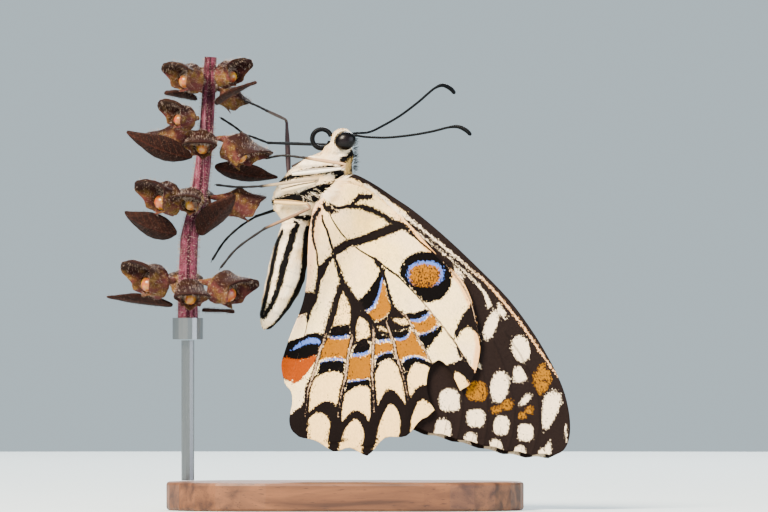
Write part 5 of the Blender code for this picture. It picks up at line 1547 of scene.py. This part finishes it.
# %% Bracts
BRACTS = {  # azimuth, rise, roll
    "1_right": (318, 26, 14), "1_left": (165, 6, 20), "2_right": (6, -22, -48), "2_left": (196, 6, 52),
    "3_right": (322, 40, -12), "3_left": (192, 2, 46), "4_right": (350, -4, 0), "4_left": (186, 8, 30),
}
# leaf tissue, brown-purple, with a midrib
bract_skin, tree, shader, colour = plant_material("basil_bract_skin", "#100504", "#220e08", "#6c4634", 500)
parts = add(tree, "SeparateXYZ", {0: add(tree, "Attribute", attribute_name="leaf_place").outputs["Vector"]})
off_rib = add(tree, "Math", {0: parts.outputs["Y"]}, operation="ABSOLUTE")
rib = add(tree, "MapRange", {"Value": off_rib, "From Min": 0.16, "From Max": 0.06, "To Max": 0.5})
colour = add(tree, "Mix", {0: rib, 6: colour, 7: linear("#3c1a12")}, data_type="RGBA").outputs[2]
slanted = add(tree, "Math", {0: off_rib, 1: -0.7, 2: parts.outputs["X"]}, operation="MULTIPLY_ADD")
side_rib = add(tree, "Math", {0: slanted}, operation="FRACT")
past_side = add(tree, "Math", {0: side_rib, 1: 0.5}, operation="SUBTRACT")
off_side = add(tree, "Math", {0: past_side}, operation="ABSOLUTE")
side_line = add(tree, "MapRange", {"Value": off_side, "From Min": 0.07, "From Max": 0.02, "To Max": 0.3})
colour = add(tree, "Mix", {0: side_line, 6: colour, 7: linear("#4c241a")}, data_type="RGBA").outputs[2]
tree.links.new(colour, shader.inputs["Base Color"])

for number, (key, (azimuth, rise, roll)) in enumerate(BRACTS.items()):
    bm = solid_copy(("bract_" + key,))
    ruffled(bm, 0.25, 1.6, number * 5.7)
    bm = subdivided(bm, 3)
    leaf = finish_piece("leaf_" + key, bm, (bract_skin,), ("bract_" + key,), smooth_angle=80)
    turn = Matrix.Rotation(math.radians(azimuth), 3, "Z") @ Matrix.Rotation(-math.radians(rise), 3, "Y")
    turn = turn @ Matrix.Rotation(math.radians(roll), 3, "X")
    spots = places(leaf.data)
    local = spots @ np.array(turn)
    local -= (local.min(0) + local.max(0)) / 2
    store(leaf.data, "leaf_place", local, "FLOAT_VECTOR")
    cell = np.array((number % 4, number // 4)) / 4

    def leaf_unwrap(points, turn=np.array(turn), cell=cell, middle=spots.mean(0)):
        flat = (points - middle) @ turn
        return cell + (flat[:, :2] / 14 + 0.5) / 4.2 + 0.005

    bristles("leaf_bristles_" + key, leaf.data, 600, 0.2, 0.02, 90 + number, leaf_unwrap,
             material=leaf_bristle)


def stem_unwrap(points):
    axis = np.interp(points[:, 2], axis_z, axis_x)
    around = np.arctan2(points[:, 1], points[:, 0] - axis) / (2 * math.pi) + 0.5
    return np.stack([around, (points[:, 2] - 24) / 40], 1)


bristles("stem_bristles", stem.data, 3600, 0.32, 0.035, 120, stem_unwrap,
         keep=lambda spots: (spots[:, 2] > 24.9) & (spots[:, 2] < 63.3))
print("leaves and bristles made")

# %% [markdown]
# ## The stand
# An oiled walnut block carries a steel rod, and a turned collar on the rod grips the cut stem.

# %% Stand materials
# oiled walnut: dark streaks along the block, open pores
walnut, tree, shader = new_material("oiled_walnut_grain", Roughness=0.55, IOR=1.45)
place = add(tree, "TexCoord").outputs["Object"]
grain_place = add(tree, "VectorMath", {0: place, 1: (60, 700, 500)}, operation="MULTIPLY")
grain = add(tree, "TexNoise", {"Vector": grain_place, "Scale": 1.0, "Detail": 5, "Distortion": 0.6})
pore_place = add(tree, "VectorMath", {0: place, 1: (500, 7000, 5000)}, operation="MULTIPLY")
pores = add(tree, "TexNoise", {"Vector": pore_place, "Scale": 1.0, "Detail": 2})
tone = add(tree, "MapRange", {"Value": grain.outputs["Fac"], "From Min": 0.35, "From Max": 0.65})
colour = add(tree, "Mix", {0: tone, 6: linear("#3a1f10"), 7: linear("#6e4326")}, data_type="RGBA").outputs[2]
pore = add(tree, "MapRange", {"Value": pores.outputs["Fac"], "From Min": 0.62, "From Max": 0.7, "To Max": 0.7})
colour = add(tree, "Mix", {0: pore, 6: colour, 7: linear("#20100a")}, data_type="RGBA").outputs[2]
tree.links.new(colour, shader.inputs["Base Color"])
bump = add(tree, "Bump", {"Height": pores.outputs["Fac"], "Strength": 0.15, "Distance": 0.0001})
tree.links.new(bump.outputs[0], shader.inputs["Normal"])
# brushed steel: metal with fine scratches along the rod
steel, tree, shader = new_material("brushed_steel_rod", Roughness=0.33, Metallic=1.0)
shader.inputs["Base Color"].default_value = linear("#74777a")
place = add(tree, "TexCoord").outputs["Object"]
scratch_place = add(tree, "VectorMath", {0: place, 1: (9000, 9000, 200)}, operation="MULTIPLY")
scratches = add(tree, "TexNoise", {"Vector": scratch_place, "Scale": 1.0, "Detail": 3})
rough = add(tree, "MapRange", {"Value": scratches.outputs["Fac"], "To Min": 0.26, "To Max": 0.42})
tree.links.new(rough.outputs[0], shader.inputs["Roughness"])
bump = add(tree, "Bump", {"Height": scratches.outputs["Fac"], "Strength": 0.08, "Distance": 0.00003})
tree.links.new(bump.outputs[0], shader.inputs["Normal"])
for node in nodes:
    solid = bpy.data.objects[node]
    chosen = next((material for start, material in (
        ("stand_base", walnut), ("stand_", steel), ("perch_stem", stem_skin), ("calyx", bell_skin),
        ("bract", bract_skin), ("eye", cornea), ("antenna", feeler_chitin), ("proboscis", tube_chitin),
        ("forewing", fore_outside), ("hindwing", wing_outside),
    ) if node.startswith(start)), body_scales)
    if not solid.data.materials:
        solid.data.materials.append(chosen)
    for place in range(len(solid.data.materials)):
        solid.data.materials[place] = chosen
print("solids with a material:", len(nodes))

# %% [markdown]
# ## The floor, the light and the camera
# A pale table runs out into a pale room, so nothing behind the model draws the eye. A big soft lamp
# above and to one side models the body, and a weaker one fills the shadows.

# %% Room
world = bpy.data.worlds.new("pale_room")
bpy.context.scene.world = world
world.use_nodes = True
room = world.node_tree.nodes["Background"]
room.inputs["Color"].default_value = linear("#cfe2ea")
room.inputs["Strength"].default_value = 0.85

bm = bmesh.new()
bmesh.ops.create_circle(bm, cap_ends=True, segments=96, radius=0.6)
floor_mesh = bpy.data.meshes.new("table_top")
bm.to_mesh(floor_mesh)
bm.free()
floor = bpy.data.objects.new("table_top", floor_mesh)
bpy.context.scene.collection.objects.link(floor)
# matt painted board
board, tree, shader = new_material("painted_board", Roughness=0.8, IOR=1.5)
shader.inputs["Base Color"].default_value = linear("#c4d0d4")
floor_mesh.materials.append(board)


def lamp(name, place, aim, size, power, colour):
    """A round soft lamp at place, in metres, that faces aim."""
    light = bpy.data.lights.new(name, "AREA")
    light.shape = "DISK"
    light.size, light.energy, light.color = size, power, linear(colour)[:3]
    made = bpy.data.objects.new(name, light)
    made.location = place
    made.rotation_euler = (Vector(aim) - Vector(place)).to_track_quat("-Z", "Y").to_euler()
    bpy.context.scene.collection.objects.link(made)


CENTRE = Vector((0.002, 0, 0.034))
lamp("key", (-0.4, -0.5, 0.6), CENTRE, 0.35, 36.0, "#fff0da")
lamp("fill", (0.6, -0.45, 0.2), CENTRE, 0.6, 6.0, "#f2f4ff")
lamp("rim", (0.1, 0.6, 0.5), CENTRE, 0.4, 8.0, "#ffffff")

camera = bpy.data.cameras.new("camera")
camera.lens = 670
camera.sensor_width = 36
camera.dof.use_dof = False
camera_object = bpy.data.objects.new("camera", camera)
camera_object.location = (0.00545, -2.0, 0.03555)
camera_object.rotation_euler = (math.radians(90), 0, 0)
bpy.context.scene.collection.objects.link(camera_object)
bpy.context.scene.camera = camera_object
